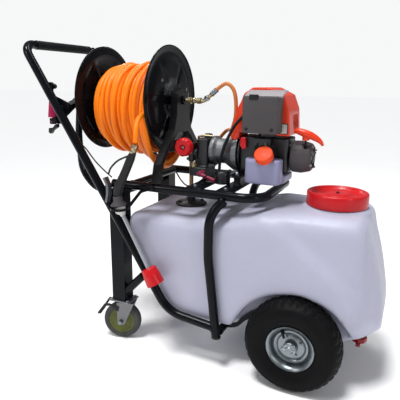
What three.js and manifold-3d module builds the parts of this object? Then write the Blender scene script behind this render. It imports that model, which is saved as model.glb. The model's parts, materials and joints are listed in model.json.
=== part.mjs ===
// Wheeled sprayer cart: a tubular trolley with a moulded liquid tank, an engine-driven
// pump on a deck over the tank, and a hose reel with a spray gun at the handle end.
// Millimetres, +Z up, +X towards the tank lid, -X towards the push handle.
// Inside the model X is measured from the rear axle and Y from the middle plane; the
// near side is -Y. The last lines move the whole cart over its own middle.

import * as THREE from 'three';
import { mergeVertices } from 'three/addons/utils/BufferGeometryUtils.js';
import Module from 'manifold-3d';

const wasm = await Module();
wasm.setup();

// ---------------------------------------------------------------- driving dimensions
const GAP = 0.3;
const FINE = 30;
const MEDIUM = 20;

const TUBE_RADIUS = 12.5;
const SIDE_Y = 177;
const HANDLE = { x: -840, z: 889, corner: 40, joint: 117 };
const GRIP = { radius: 15, reach: 126 };
const LOWER_BEND = { x: -363, z: 141, radius: 95 };
const RAIL_END = { x: -205, z: 124 };
const HOOP_Y = SIDE_Y;
const HOOP_FOOT = { x: -211, z: 97 };

const DECK = { end: -560, front: -503, rear: -108, y: 145, z: 495, corner: 60 };
const PUMP_BAR = { from: -325, to: -277 };
const ENGINE_BAR = { from: -235, to: -187 };
const BAR_THICKNESS = 6;

const COLUMN = { x: -542, y: 141.7, size: 45, bottom: 130.3, top: 482.2 };
const TIE_Z = 468;
const STAY_Y = -57;

const AXLE = { z: 127.5, radius: 10, reach: 204 };
const CROSS_TUBE = { x: -208, z: 109, radius: 12 };
const ARM_Y = 115;

const WHEEL = { y: 165, radius: 127.5, width: 83, bead: 62 };
const CASTER = { x: -528, radius: 59, width: 32, hub: 40, trail: 15, forkTop: 125.7 };
const CASTER_YAW = { near: 16, far: 10 };

const REEL = { z: 733, left: -676, right: -444, flange: 157, drum: 52, shaft: 12.5 };
const PACK = { radius: 134, sag: 28, from: -656, to: -466 };
const BEARING = { left: -740, right: -412 };
const CRANK = { x: -793, y: -109, z: 668 };

const TANK = { half: 162, wall: 4, front: -517, rear: 205 };
const LID = { x: 58.6, z: 471, height: 36, radius: 80.6 };
const DRAIN = { x: 152, y: -30 };
const SUCTION = { x: -376, deck: 421 };

const CRANKSHAFT_Z = 592;
const GUN_Y = -203;

// ---------------------------------------------------------------- materials
const finish = (color, roughness, metalness = 0) =>
  new THREE.MeshStandardMaterial({ color, roughness, metalness });
const blackPaint = finish(0x14161a, 0.4, 0.2);
const greyPaint = finish(0x3c3d40, 0.5, 0.2);
const zinc = finish(0xa9adad, 0.35, 0.9);
const castMetal = finish(0x5f6468, 0.5, 0.7);
const darkMetal = finish(0x35373a, 0.5, 0.6);
const brass = finish(0xb08a4a, 0.35, 0.9);
const chromeTube = finish(0xc9ccd0, 0.15, 1);
const blackRubber = finish(0x101114, 0.8);
const tyreRubber = finish(0x0c0c0e, 0.75);
const greyRubber = finish(0x55574f, 0.8);
const orangeHose = finish(0xff8a12, 0.5);
const tanHose = finish(0xc9823f, 0.5);
const whiteTank = finish(0xc4c6e4, 0.45);
const redPlastic = finish(0xd0141c, 0.35);
const orangePlastic = finish(0xf0441c, 0.35);
const pinkPlastic = finish(0xb8305a, 0.4);
const greyPlastic = finish(0x4a4648, 0.55);
const blackPlastic = finish(0x17181a, 0.5);
const oliveHub = finish(0x6a6c2e, 0.55);
const whitePlastic = finish(0xdedcd6, 0.4);
const clearHose = finish(0x8a6c48, 0.3);

// ---------------------------------------------------------------- geometry helpers
const v3 = (x, y, z) => new THREE.Vector3(x, y, z);
const quarter = Math.PI / 2;

// A closed, welded geometry whose faces point outwards.
function welded(geometry) {
  const bare = geometry.clone();
  for (const name of Object.keys(bare.attributes)) {
    if (name !== 'position') bare.deleteAttribute(name);
  }
  bare.clearGroups();
  const merged = mergeVertices(bare, 1e-3);
  const points = merged.getAttribute('position');
  const faces = [];
  let volume = 0;
  for (let i = 0; i < merged.index.count; i += 3) {
    const corner = [0, 1, 2].map((k) => merged.index.getX(i + k));
    if (new Set(corner).size < 3) continue;
    const [a, b, c] = corner.map((k) => v3().fromBufferAttribute(points, k));
    volume += a.dot(b.cross(c)) / 6;
    faces.push(corner);
  }
  const order = volume < 0 ? faces.map(([a, b, c]) => [a, c, b]) : faces;
  merged.setIndex(order.flat());
  return merged;
}

function toSolid(geometry) {
  const closed = welded(geometry);
  const vertProperties = new Float32Array(closed.getAttribute('position').array);
  const triVerts = new Uint32Array(closed.index.array);
  return new wasm.Manifold(new wasm.Mesh({ numProp: 3, vertProperties, triVerts }));
}

function fromSolid(solid) {
  const mesh = solid.getMesh();
  const geometry = new THREE.BufferGeometry();
  geometry.setAttribute('position', new THREE.BufferAttribute(mesh.vertProperties, 3));
  geometry.setIndex(new THREE.BufferAttribute(mesh.triVerts, 1));
  return geometry;
}

const join = (...pieces) =>
  fromSolid(pieces.map(toSolid).reduce((whole, piece) => whole.add(piece)));
const cut = (body, ...tools) =>
  fromSolid(tools.map(toSolid).reduce((whole, tool) => whole.subtract(tool), toSolid(body)));
const moved = (geometry, x, y, z) => geometry.clone().translate(x, y, z);

function box(x0, x1, y0, y1, z0, z1) {
  const geometry = new THREE.BoxGeometry(x1 - x0, y1 - y0, z1 - z0);
  return geometry.translate((x0 + x1) / 2, (y0 + y1) / 2, (z0 + z1) / 2);
}

// Cylinder along an axis; from and to are places on that axis.
function rod(axis, radius, from, to, sides = 20, radiusTo = radius) {
  const geometry = new THREE.CylinderGeometry(radiusTo, radius, to - from, sides);
  geometry.translate(0, (from + to) / 2, 0);
  return alongAxis(geometry, axis);
}

// Turned shape: profile points are [radius, place on the axis].
function turned(axis, profile, sides = 32) {
  const points = profile.map(([radius, place]) => new THREE.Vector2(radius, place));
  return alongAxis(new THREE.LatheGeometry(points, sides), axis);
}

const turnedRing = (axis, profile, sides) => turned(axis, [...profile, profile[0]], sides);

// Turns a shape built round +Y so that its +Y end points along the axis.
function alongAxis(geometry, axis) {
  if (axis === 'x') geometry.rotateZ(-quarter);
  if (axis === 'z') geometry.rotateX(quarter);
  return geometry;
}

// Turns a shape built round +Z so that it points along a direction from a place.
function pointed(geometry, at, direction) {
  const turn = new THREE.Quaternion();
  turn.setFromUnitVectors(v3(0, 0, 1), direction.clone().normalize());
  return geometry.clone().applyQuaternion(turn).translate(at.x, at.y, at.z);
}

// Prism from an outline; [a, b] are x and z, pushed along Y.
function plateXZ(outline, y0, y1) {
  const shape = outline instanceof THREE.Shape ? outline : shapeOf(outline);
  const geometry = new THREE.ExtrudeGeometry(shape, extrusion(y1 - y0));
  return geometry.rotateX(quarter).translate(0, y1, 0);
}

// Prism from an outline; [a, b] are y and z, pushed along X.
function plateYZ(outline, x0, x1) {
  const geometry = new THREE.ExtrudeGeometry(shapeOf(outline), extrusion(x1 - x0));
  return geometry.rotateX(quarter).rotateZ(quarter).translate(x0, 0, 0);
}

const shapeOf = (outline) => new THREE.Shape(outline.map(([a, b]) => new THREE.Vector2(a, b)));
const extrusion = (depth, curveSegments = 3) =>
  ({ depth, bevelEnabled: false, curveSegments, steps: 1 });

// Rounded rectangle in a plane, as a list of points round its middle.
function roundedOutline(width, height, radius, perCorner = 4) {
  const points = [];
  const corners = [[1, 1, 0], [-1, 1, 1], [-1, -1, 2], [1, -1, 3]];
  for (const [sx, sy, turn] of corners) {
    for (let i = 0; i <= perCorner; i += 1) {
      const angle = (turn + i / perCorner) * quarter;
      const x = sx * (width / 2 - radius) + radius * Math.cos(angle);
      const y = sy * (height / 2 - radius) + radius * Math.sin(angle);
      points.push([x, y]);
    }
  }
  return points;
}

// Box with rounded upright edges.
function roundedBlock(x0, x1, y0, y1, z0, z1, radius, perCorner = 3) {
  const outline = roundedOutline(x1 - x0, y1 - y0, radius, perCorner);
  const geometry = new THREE.ExtrudeGeometry(shapeOf(outline), extrusion(z1 - z0));
  return geometry.translate((x0 + x1) / 2, (y0 + y1) / 2, z0);
}

// A path through given points that a swept section follows point by point.
class PointPath extends THREE.Curve {
  constructor(points) {
    super();
    this.points = points;
    this.last = points.length - 1;
  }

  getPoint(t, target = v3()) {
    const place = THREE.MathUtils.clamp(t, 0, 1) * this.last;
    const index = Math.min(Math.floor(place), this.last - 1);
    return target.lerpVectors(this.points[index], this.points[index + 1], place - index);
  }

  getPointAt(u, target) {
    return this.getPoint(u, target);
  }

  getTangentAt(u, target = v3()) {
    const index = Math.round(THREE.MathUtils.clamp(u, 0, 1) * this.last);
    const before = this.points[Math.max(index - 1, 0)];
    const here = this.points[index];
    const after = this.points[Math.min(index + 1, this.last)];
    const into = here.clone().sub(before).normalize();
    const out = after.clone().sub(here).normalize();
    return target.copy(into.add(out)).normalize();
  }
}

// Straight runs between points, with an arc of the given radius at every inner point.
function bentPath(corners, bendRadius, perBend = 4) {
  const points = [corners[0].clone()];
  for (let i = 1; i < corners.length - 1; i += 1) {
    const radius = Array.isArray(bendRadius) ? bendRadius[i - 1] : bendRadius;
    const into = corners[i].clone().sub(corners[i - 1]).normalize();
    const out = corners[i + 1].clone().sub(corners[i]).normalize();
    const half = into.angleTo(out) / 2;
    const setback = radius * Math.tan(half);
    const start = corners[i].clone().addScaledVector(into, -setback);
    const side = out.clone().addScaledVector(into, -out.dot(into)).normalize();
    const centre = start.clone().addScaledVector(side, radius);
    for (let k = 0; k <= perBend; k += 1) {
      const angle = (k / perBend) * half * 2;
      const point = centre.clone().addScaledVector(into, radius * Math.sin(angle));
      points.push(point.addScaledVector(side, -radius * Math.cos(angle)));
    }
  }
  points.push(corners[corners.length - 1].clone());
  return points;
}

function swept(points, outline) {
  const steps = points.length - 1;
  const settings = { steps, bevelEnabled: false, extrudePath: new PointPath(points) };
  return new THREE.ExtrudeGeometry(shapeOf(outline), settings);
}

function roundOutline(radius, sides) {
  const outline = [];
  for (let i = 0; i < sides; i += 1) {
    const angle = (i / sides) * 2 * Math.PI;
    outline.push([radius * Math.cos(angle), radius * Math.sin(angle)]);
  }
  return outline;
}

function tube(corners, bendRadius, radius = TUBE_RADIUS, sides = 12, perBend = 4) {
  return swept(bentPath(corners, bendRadius, perBend), roundOutline(radius, sides));
}

const smoothTube = (points, radius, steps, sides = 10) => {
  const curve = new THREE.CatmullRomCurve3(points, false, 'centripetal');
  return swept(curve.getSpacedPoints(steps), roundOutline(radius, sides));
};

// ---------------------------------------------------------------- the assembly
const cart = new THREE.Group();

function add(name, geometry, material, parent = cart) {
  const mesh = new THREE.Mesh(welded(geometry), material);
  mesh.name = name;
  parent.add(mesh);
  return mesh;
}

const sides = [['near', -1], ['far', 1]];

// ---------------------------------------------------------------- frame
function sideTubePath(side, endX) {
  const slope = (LOWER_BEND.z - RAIL_END.z) / (RAIL_END.x - LOWER_BEND.x);
  const endZ = RAIL_END.z - slope * (endX - RAIL_END.x);
  return [
    v3(HANDLE.x, side * HANDLE.joint, HANDLE.z),
    v3(HANDLE.x, side * SIDE_Y, HANDLE.z),
    v3(LOWER_BEND.x, side * SIDE_Y, LOWER_BEND.z),
    v3(endX, side * SIDE_Y, endZ),
  ];
}

function hoopTube(side, radius = TUBE_RADIUS) {
  const y = side * HOOP_Y;
  const corners = [
    v3(HOOP_FOOT.x, y, HOOP_FOOT.z),
    v3(-239, y, 330),
    v3(-238, y, 452),
    v3(-206, side * (DECK.y + 6), 484),
  ];
  return tube(corners, [400, 90], radius, 12, 5);
}

function deckRails(radius) {
  const corners = [
    v3(DECK.end, -DECK.y, DECK.z),
    v3(DECK.rear, -DECK.y, DECK.z),
    v3(DECK.rear, DECK.y, DECK.z),
    v3(DECK.end, DECK.y, DECK.z),
  ];
  return tube(corners, DECK.corner, radius, 12, 5);
}

function buildFrame() {
  const railCutter = deckRails(TUBE_RADIUS + GAP);
  for (const [name, side] of sides) {
    const path = sideTubePath(side, HOOP_FOOT.x - 8);
    const bare = tube(path, [HANDLE.corner, LOWER_BEND.radius]);
    const sideTube = side < 0 ? join(bare, throttleClamp()) : bare;
    add(`side_tube_${name}`, cut(sideTube, hoopTube(side, TUBE_RADIUS + GAP)), blackPaint);
    add(`hoop_${name}`, cut(hoopTube(side), railCutter), blackPaint);
    add(`caster_column_${name}`, casterColumn(side), blackPaint);
  }
  const reach = HANDLE.joint - GAP;
  const bar = moved(rod('y', TUBE_RADIUS, -reach, reach, 12), HANDLE.x, 0, HANDLE.z);
  add('handle_bar', bar, blackPaint);

  const sleeve = turnedRing('y', [
    [TUBE_RADIUS + GAP, -GRIP.reach], [GRIP.radius, -GRIP.reach], [GRIP.radius, GRIP.reach],
    [TUBE_RADIUS + GAP, GRIP.reach],
  ], 20);
  add('handle_grip', moved(sleeve, HANDLE.x, 0, HANDLE.z), blackRubber);

  const deckTop = DECK.z + TUBE_RADIUS;
  const frontBar = moved(rod('y', 10, -DECK.y, DECK.y, 12), DECK.front, 0, DECK.z);
  const flatBar = ({ from, to }) =>
    box(from, to, -DECK.y - 4, DECK.y + 4, deckTop - BAR_THICKNESS, deckTop);
  add('deck_frame', join(deckRails(TUBE_RADIUS), frontBar, flatBar(PUMP_BAR),
    flatBar(ENGINE_BAR), gunHolder()), blackPaint);

  add('axle_cradle', axleCradle(), blackPaint);
}

// Square column with its lower brace bar and the top plate of the caster.
function casterColumn(side) {
  const half = COLUMN.size / 2;
  const y = side * COLUMN.y;
  const { x, bottom, top } = COLUMN;
  const post = box(x - half, x + half, y - half, y + half, bottom, top);
  const plate = box(x - 32, x + 38, y - 28, y + 28, bottom - 4, bottom);
  const braceY = side * (SIDE_Y - 2 * TUBE_RADIUS - 1.5);
  const brace = tube([v3(x + 10, braceY, 150), v3(-462, braceY, 222)], 1, TUBE_RADIUS);
  return join(post, plate, brace);
}

// Cross tube under the tank with an arched arm on each side that carries the axle.
function axleCradle() {
  const { x, z, radius } = CROSS_TUBE;
  const reach = HOOP_Y - TUBE_RADIUS - 1;
  const crossTube = moved(rod('y', radius, -reach, reach, 16), x, 0, z);
  const arm = new THREE.Shape();
  arm.moveTo(x, z - 11);
  arm.splineThru([[-172, 108], [-142, 138], [-104, 152], [-55, 140], [-20, AXLE.z - 10]]
    .map(([a, b]) => new THREE.Vector2(a, b)));
  arm.lineTo(0, AXLE.z - 20);
  arm.absarc(0, AXLE.z, 20, -quarter, quarter, false);
  arm.splineThru([[-30, 158], [-75, 172], [-118, 172], [-152, 148], [-178, 118], [x, z + 8]]
    .map(([a, b]) => new THREE.Vector2(a, b)));
  const arms = sides.map(([, side]) => {
    const y = side * ARM_Y;
    return cut(plateXZ(arm, y - 3, y + 3), axleHole(y - 9, y + 9));
  });
  return join(crossTube, ...arms);
}

const axleHole = (from, to) => moved(rod('y', AXLE.radius + GAP, from, to, 20), 0, 0, AXLE.z);

// ---------------------------------------------------------------- rear wheels
function buildRearWheels() {
  const axle = rod('y', AXLE.radius, -AXLE.reach, AXLE.reach, 20);
  add('rear_axle', moved(axle, 0, 0, AXLE.z), zinc);
  for (const [name, side] of sides) {
    const wheel = new THREE.Group();
    wheel.position.set(0, side * WHEEL.y, AXLE.z);
    cart.add(wheel);
    add(`rear_tyre_${name}`, tyreRing(WHEEL.radius, WHEEL.width, WHEEL.bead), tyreRubber, wheel);
    add(`rear_rim_${name}`, rimDisc(side), zinc, wheel);
  }
}

// Thick-walled tyre, open towards the rim.
function tyreRing(radius, width, bead) {
  const half = width / 2;
  const outer = [
    [bead, 0.62 * half], [bead + 8, 0.85 * half], [bead + 27, half], [radius - 17, 0.9 * half],
    [radius - 4, 0.55 * half],
  ];
  const inner = [[radius - 14, 0.4 * half], [bead + 26, 0.78 * half], [bead, 0.42 * half]];
  const crown = [[radius, 0]];
  const mirrored = (points) => points.map(([r, y]) => [r, -y]).reverse();
  return turnedRing('y', [...outer, ...crown, ...mirrored(outer), ...mirrored(inner), ...inner], FINE);
}

// Pressed steel rim: barrel with flanges, dished web and hub tube. side is the outer face.
function rimDisc(side) {
  const edge = WHEEL.bead - GAP;
  const profile = [
    [AXLE.radius + GAP, -34], [19, -34], [19, 3], [40, 8], [49, 4], [50, -30],
    [edge, -31], [54, -22], [53, 22], [edge, 31], [52, 30],
    [47, 22], [38, 15.5], [19, 10], [19, 33], [AXLE.radius + GAP, 33],
  ];
  const rim = turnedRing('y', profile.map(([r, y]) => [r, side * y]), FINE);
  return cut(rim, moved(rod('y', 4, -40, 40, 8), -14, 0, 36));
}

// ---------------------------------------------------------------- casters
function buildCasters() {
  for (const [name, side] of sides) {
    const swivel = new THREE.Group();
    swivel.position.set(CASTER.x, side * COLUMN.y, 0);
    swivel.rotation.z = THREE.MathUtils.degToRad(CASTER_YAW[name]);
    cart.add(swivel);
    const { radius, width, hub, trail, forkTop } = CASTER;
    const legY = width / 2 + 4;
    const leg = plateXZ([
      [-trail - 11, radius - 9], [-trail + 11, radius - 9], [27, forkTop - 5], [-27, forkTop - 5],
    ], -1.5, 1.5);
    const crown = box(-27, 27, -legY - 1.5, legY + 1.5, forkTop - 6, forkTop - 3);
    const race = rod('z', 22, forkTop - 5, forkTop, 20);
    const pin = moved(rod('y', 4.8, -legY - 6, legY + 6, 12), -trail, 0, radius);
    const fork = join(moved(leg, 0, -legY, 0), moved(leg, 0, legY, 0), crown, race, pin);
    add(`caster_fork_${name}`, fork, zinc, swivel);

    const wheel = new THREE.Group();
    wheel.position.set(-trail, 0, radius);
    swivel.add(wheel);
    const half = width / 2;
    add(`caster_tyre_${name}`, turnedRing('y', [
      [hub + GAP, -half + 2], [hub + 8, -half], [hub + 13, -half + 3], [radius, -half + 9],
      [radius, half - 9], [hub + 13, half - 3], [hub + 8, half], [hub + GAP, half - 2],
    ], 28), greyRubber, wheel);
    add(`caster_hub_${name}`, turnedRing('y', [
      [5.1, -half - 1.5], [11, -half - 1.5], [12, -half + 3], [hub, -half + 3],
      [hub, half - 3], [12, half - 3], [11, half + 1.5], [5.1, half + 1.5],
    ], MEDIUM), oliveHub, wheel);

    add(`brake_pedal_${name}`, brakePedal(legY), blackPlastic, swivel);
  }
}

// Foot pedal: two curved cheeks outside the fork legs joined by a tread bar at their tips.
function brakePedal(legY) {
  const y = legY + 2.1;
  const cheek = plateXZ([
    [-22, 94], [-18, 110], [-50, 121], [-66, 118], [-86, 88], [-81, 83], [-62, 110], [-48, 112],
  ], 0, 2.5);
  const tread = box(-88, -78, -y - 2.5, y + 2.5, 82, 88);
  return join(moved(cheek, 0, y, 0), moved(cheek, 0, -y - 2.5, 0), tread);
}

// ---------------------------------------------------------------- hose reel
function buildReel() {
  const { z, left, right, flange, drum, shaft } = REEL;
  const reel = new THREE.Group();
  reel.position.set(0, 0, z);
  cart.add(reel);

  const spindle = join(
    rod('x', shaft, CRANK.x + 5, BEARING.right + 15, 16),
    rod('x', drum, left + 6.3, right - 6.3, 28),
  );
  add('reel_drum', spindle, blackPaint, reel);
  const flangeProfile = [
    [shaft + GAP, 0], [40, 0], [60, -5], [118, -5], [132, 0], [flange - 5, -4],
    [flange, 0], [flange - 5, 5], [128, 5], [114, 0], [62, 0], [42, 5], [shaft + GAP, 5],
  ];
  for (const [name, x, out] of [['left', left, -1], ['right', right, 1]]) {
    const disc = turnedRing('x', flangeProfile.map(([r, a]) => [r, x - out * a]), FINE);
    const slots = [0, 1, 2, 3, 4, 5].map((k) => {
      const angle = (k / 6) * 2 * Math.PI + 0.26;
      return rod('x', 9, x - 20, x + 20, 8)
        .translate(0, 96 * Math.sin(angle), 96 * Math.cos(angle));
    });
    add(`reel_flange_${name}`, cut(disc, ...slots), blackPaint, reel);
  }

  // The loosely wound hose hangs lower than the drum that it lies on.
  const { radius, sag, from, to } = PACK;
  const coil = moved(turned('x', [
    [0, from], [radius - 42, from], [radius - 20, from + 14], [radius - 7, from + 32],
    [radius, from + 54], [radius, to], [0, to],
  ], FINE), 0, 0, -sag);
  const packed = cut(coil, rod('x', drum + GAP, from - 5, to + 5, 28));
  add('hose_pack', packed, orangeHose, reel);
  add('crank_arm', crankArm(), blackPaint, reel);
  add('crank_grip', crankGrip(), pinkPlastic);

  add('reel_stand_right', rightStand(), greyPaint);
  add('reel_stand_left', leftStand(), blackPaint);
  add('swivel_fitting', swivelFitting(), brass);
}

// Flat arm from the shaft end to a clevis that holds the folding grip.
function crankArm() {
  const { x, y } = CRANK;
  const z = CRANK.z - REEL.z;
  const along = Math.atan2(z, y);
  const length = Math.hypot(y, z);
  const bar = plateYZ(roundedOutline(length + 26, 26, 12.5), x + 5, x + 10);
  const arm = moved(bar.rotateX(along), 0, y / 2, z / 2);
  const boss = cut(rod('x', 20, x + 5, x + 20, 20), rod('x', REEL.shaft + GAP, x, x + 30, 20));
  const lug = (from, to) => box(x - 16, x + 6, y + from, y + to, z - 14, z + 4);
  const shaftHole = rod('x', REEL.shaft + GAP, x - 5, x + 30, 20);
  const pinHole = moved(rod('y', 3.3, y - 30, y + 30, 10), x - 9, 0, z - 7);
  return cut(join(arm, boss, lug(-13, -8.5), lug(8.5, 13)), shaftHole, pinHole);
}

// Grip on a cross pin, shown folded up against the arm.
function crankGrip() {
  const { x, y, z } = CRANK;
  const pin = moved(rod('y', 3, -14, 14, 10), x - 9, y, z - 7);
  const eye = moved(rod('y', 7, -8, 8, 16), x - 9, y, z - 7);
  const cone = moved(rod('z', 15, z + 6, z + 56, 20, 9), x - 14, y, 0);
  const neck = moved(rod('z', 6, z - 7, z + 8, 12), x - 10, y, 0);
  return join(pin, eye, cone, neck);
}

// Arched stand over the deck rails, with the bearing at its top.
function rightStand() {
  const { z } = REEL;
  const x0 = BEARING.right - 14;
  const x1 = BEARING.right + 8;
  const outer = [];
  const inner = [];
  const route = [[-DECK.y, 508], [-130, 560], [-98, 596], [-44, 650], [-30, 690], [-26, z]];
  for (const [y, height] of route) {
    outer.push([y - 10, height]);
    inner.push([y + 10, height - (y > -60 ? 12 : 0)]);
  }
  const half = [...outer, ...inner.reverse()];
  const mirrored = half.map(([y, height]) => [-y, height]).reverse();
  const legs = join(plateYZ(half, x0, x1), plateYZ(mirrored, x0, x1),
    box(x0, x1, -34, 34, 640, z), rod('x', 34, x0, x1, 24).translate(0, 0, z));
  return cut(legs, moved(rod('x', REEL.shaft + GAP, x0 - 9, x1 + 9, 20), 0, 0, z));
}

// Cross bar between the side tubes with gussets and the left bearing, and the bent stay
// that carries it on the tie tube between the columns.
function leftStand() {
  const { z } = REEL;
  const x = BEARING.left;
  const inner = SIDE_Y - TUBE_RADIUS - GAP;
  const end = inner - 2;
  const bar = swept([
    v3(-722, -end, 706), v3(x, -50, z - 2), v3(x, 50, z - 2), v3(-722, end, 706),
  ], [[-15, -4], [15, -4], [15, 4], [-15, 4]]);
  const boss = rod('x', 26, x - 12, x + 14, 24).translate(0, 0, z);
  const gusset = [[-748, 745], [-692, 722], [-700, 690], [-716, 678]];
  const gussets = [[-inner, -inner + 5], [inner - 5, inner]].map(([a, b]) => plateXZ(gusset, a, b));
  const stay = tube([
    v3(x, STAY_Y, z - 4), v3(-752, STAY_Y, 620), v3(-745, STAY_Y, 500), v3(-690, STAY_Y, 444),
    v3(COLUMN.x, STAY_Y, TIE_Z),
  ], [300, 90, 60], 11, 10);
  const reach = COLUMN.y - COLUMN.size / 2 - GAP;
  const tie = moved(rod('y', TUBE_RADIUS, -reach, reach, 12), COLUMN.x, 0, TIE_Z);
  const hole = rod('x', REEL.shaft + GAP, x - 30, x + 30, 20).translate(0, 0, z);
  return cut(join(bar, boss, ...gussets, stay, tie), hole);
}

// Fitting on the shaft end that turns the hose inlet upwards.
function swivelFitting() {
  const start = BEARING.right + 15 + GAP;
  const body = rod('x', 9, start, start + 28, 12);
  const nut = rod('x', 11.5, start + 14, start + 24, 6);
  const elbow = tube([v3(start + 20, 0, 0), v3(-338, 0, -3), v3(-313, 0, 18)], 12, 6.5, 10);
  return moved(join(body, nut, elbow), 0, 0, REEL.z);
}

// ---------------------------------------------------------------- tank
// Stations along X: [x, bottom, top, half width, top radius, bottom radius].
const tankStations = [
  [TANK.front, 356, 396, 128, 16, 16],
  [-511, 338, 405, 142, 26, 20],
  [-496, 318, 412, 149, 32, 24],
  [-480, 300, 416, 152, 36, 24],
  [-455, 264, 420, 155, 40, 28],
  [-420, 208, 421, 159, 43, 28],
  [-382, 152, 421, 161, 45, 26],
  [-352, 132, 421, 162, 46, 24],
  [-318, 125, 421.2, 162, 46, 24],
  [-205, 123.5, 440, 162, 46, 24],
  [-100, 123.5, 460, 162, 46, 24],
  [40, 121, 464, 162, 46, 24],
  [90, 120, 464, 162, 46, 60],
  [132, 119, 462, 156, 46, 120],
  [150, 121, 448, 146, 46, 116],
  [160, 123, 408, 136, 50, 112],
  [172, 128, 374, 122, 52, 106],
  [184, 136, 334, 110, 50, 100],
  [194, 146, 288, 100, 44, 90],
  [201, 156, 250, 90, 34, 56],
  [TANK.rear, 170, 218, 76, 20, 24],
];

function tankSkin(inset) {
  const perCorner = 3;
  const rings = tankStations.map(([x, bottom, top, half, upper, lower], index) => {
    const end = index === 0 ? inset : index === tankStations.length - 1 ? -inset : 0;
    const corner = (sy, sz, radius, from) => {
      const r = Math.max(radius - inset, 3);
      const points = [];
      for (let i = 0; i <= perCorner; i += 1) {
        const angle = (from + i / perCorner) * quarter;
        const y = sy * (half - inset - r) + r * Math.cos(angle);
        const z = (sz > 0 ? top - inset - r : bottom + inset + r) + r * Math.sin(angle);
        points.push(v3(x + end, y, z));
      }
      return points;
    };
    return [
      ...corner(1, 1, upper, 0), ...corner(-1, 1, upper, 1),
      ...corner(-1, -1, lower, 2), ...corner(1, -1, lower, 3),
    ];
  });
  return lofted(rings);
}

// Skin through rings of equal point count, with a fan over each end ring.
function lofted(rings) {
  const count = rings[0].length;
  const position = rings.flat().flatMap((p) => [p.x, p.y, p.z]);
  const index = [];
  for (let i = 0; i < rings.length - 1; i += 1) {
    for (let k = 0; k < count; k += 1) {
      const next = (k + 1) % count;
      const [a, b] = [i * count + k, i * count + next];
      const [c, d] = [a + count, b + count];
      index.push(a, c, b, b, c, d);
    }
  }
  const last = (rings.length - 1) * count;
  for (let k = 1; k < count - 1; k += 1) {
    index.push(0, k, k + 1, last, last + k + 1, last + k);
  }
  const geometry = new THREE.BufferGeometry();
  geometry.setAttribute('position', new THREE.Float32BufferAttribute(position, 3));
  geometry.setIndex(index);
  return geometry;
}

// Space over a rear wheel; grow makes the matching inner wall of the tank.
function wheelArch(side, grow) {
  const lip = [
    [-192, 100], [-176, 136], [-150, 181], [-124, 212], [-98, 231], [-62, 249], [0, 262],
    [40, 260], [86, 246], [123, 226], [146, 190], [152, 150], [150, 100],
  ].map(([x, z]) => new THREE.Vector2(x, z));
  const shape = new THREE.Shape();
  shape.moveTo(lip[0].x, lip[0].y);
  shape.splineThru(lip.slice(1));
  const wide = shape.getPoints(1).map((p) => {
    const out = p.clone().sub(new THREE.Vector2(-12, 128)).normalize();
    return [p.x + out.x * grow, p.y + out.y * grow];
  });
  const inner = 108 - grow;
  const range = side < 0 ? [-200, -inner] : [inner, 200];
  return plateXZ(wide, ...range);
}

function buildTank() {
  const { x, z } = LID;
  const wall = TANK.wall;
  const shoulder = turned('z', [[0, 430], [94, 430], [91, 463], [83, 470.5], [0, 470.5]], FINE);
  const neck = rod('z', 70, 465, 492, FINE);
  const tunnel = (grow) => box(-24 - grow, 24 + grow, -200, 200, 100, 144 + grow);
  const outside = cut(join(tankSkin(0), moved(shoulder, x, 0, 0), moved(neck, x, 0, 0)),
    wheelArch(-1, 0), wheelArch(1, 0), tunnel(0));
  const inside = cut(tankSkin(wall), wheelArch(-1, wall), wheelArch(1, wall), tunnel(wall));
  const mouth = moved(rod('z', 62, 440, 510, FINE), x, 0, 0);
  const suctionHole = moved(rod('z', 11.5, 400, 440, 16), SUCTION.x, 0, 0);
  const drainHole = moved(rod('z', 13, 100, 150, 16), DRAIN.x, DRAIN.y, 0);
  add('tank', cut(outside, inside, mouth, suctionHole, drainHole), whiteTank);

  const { radius, height } = LID;
  const lid = turned('z', [
    [0, height - 4], [16, height - 4], [36, height - 4], [38, height - 7], [71, height - 7],
    [73, height], [radius - 2, height], [radius, height - 3], [radius, 0], [74, 0],
    [74, height - 11.4], [0, height - 11.4],
  ], FINE);
  add('tank_lid', moved(lid, x, 0, z), redPlastic);

  const strainer = turned('z', [
    [0, 408], [55, 408], [58, 412], [58, 492.3], [69, 492.3], [69, 494.3],
    [56.5, 494.3], [56.5, 413], [0, 410],
  ], MEDIUM);
  add('strainer', moved(strainer, x, 0, 0), whitePlastic);

  add('drain_plug', moved(join(
    turned('z', [[0, 104], [21, 104], [21, 118.6], [0, 118.6]], 8),
    rod('z', 12.5, 118, 134, 16),
    box(-6, 6, -24, 24, 96, 105),
  ), DRAIN.x, DRAIN.y, 0), redPlastic);

  const flange = turnedRing('z', [
    [7.3, -10], [11, -10], [11, GAP], [48, GAP], [48, 4], [44, 7], [12, 8], [11, 46],
    [7.3, 46],
  ], MEDIUM);
  add('suction_flange', moved(flange, SUCTION.x, 0, SUCTION.deck), blackPlastic);
  const suction = tube([v3(SUCTION.x, 0, 176), v3(SUCTION.x, 0, 584)], 1, 6.8, 10);
  add('suction_hose', suction, clearHose);
}

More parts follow.
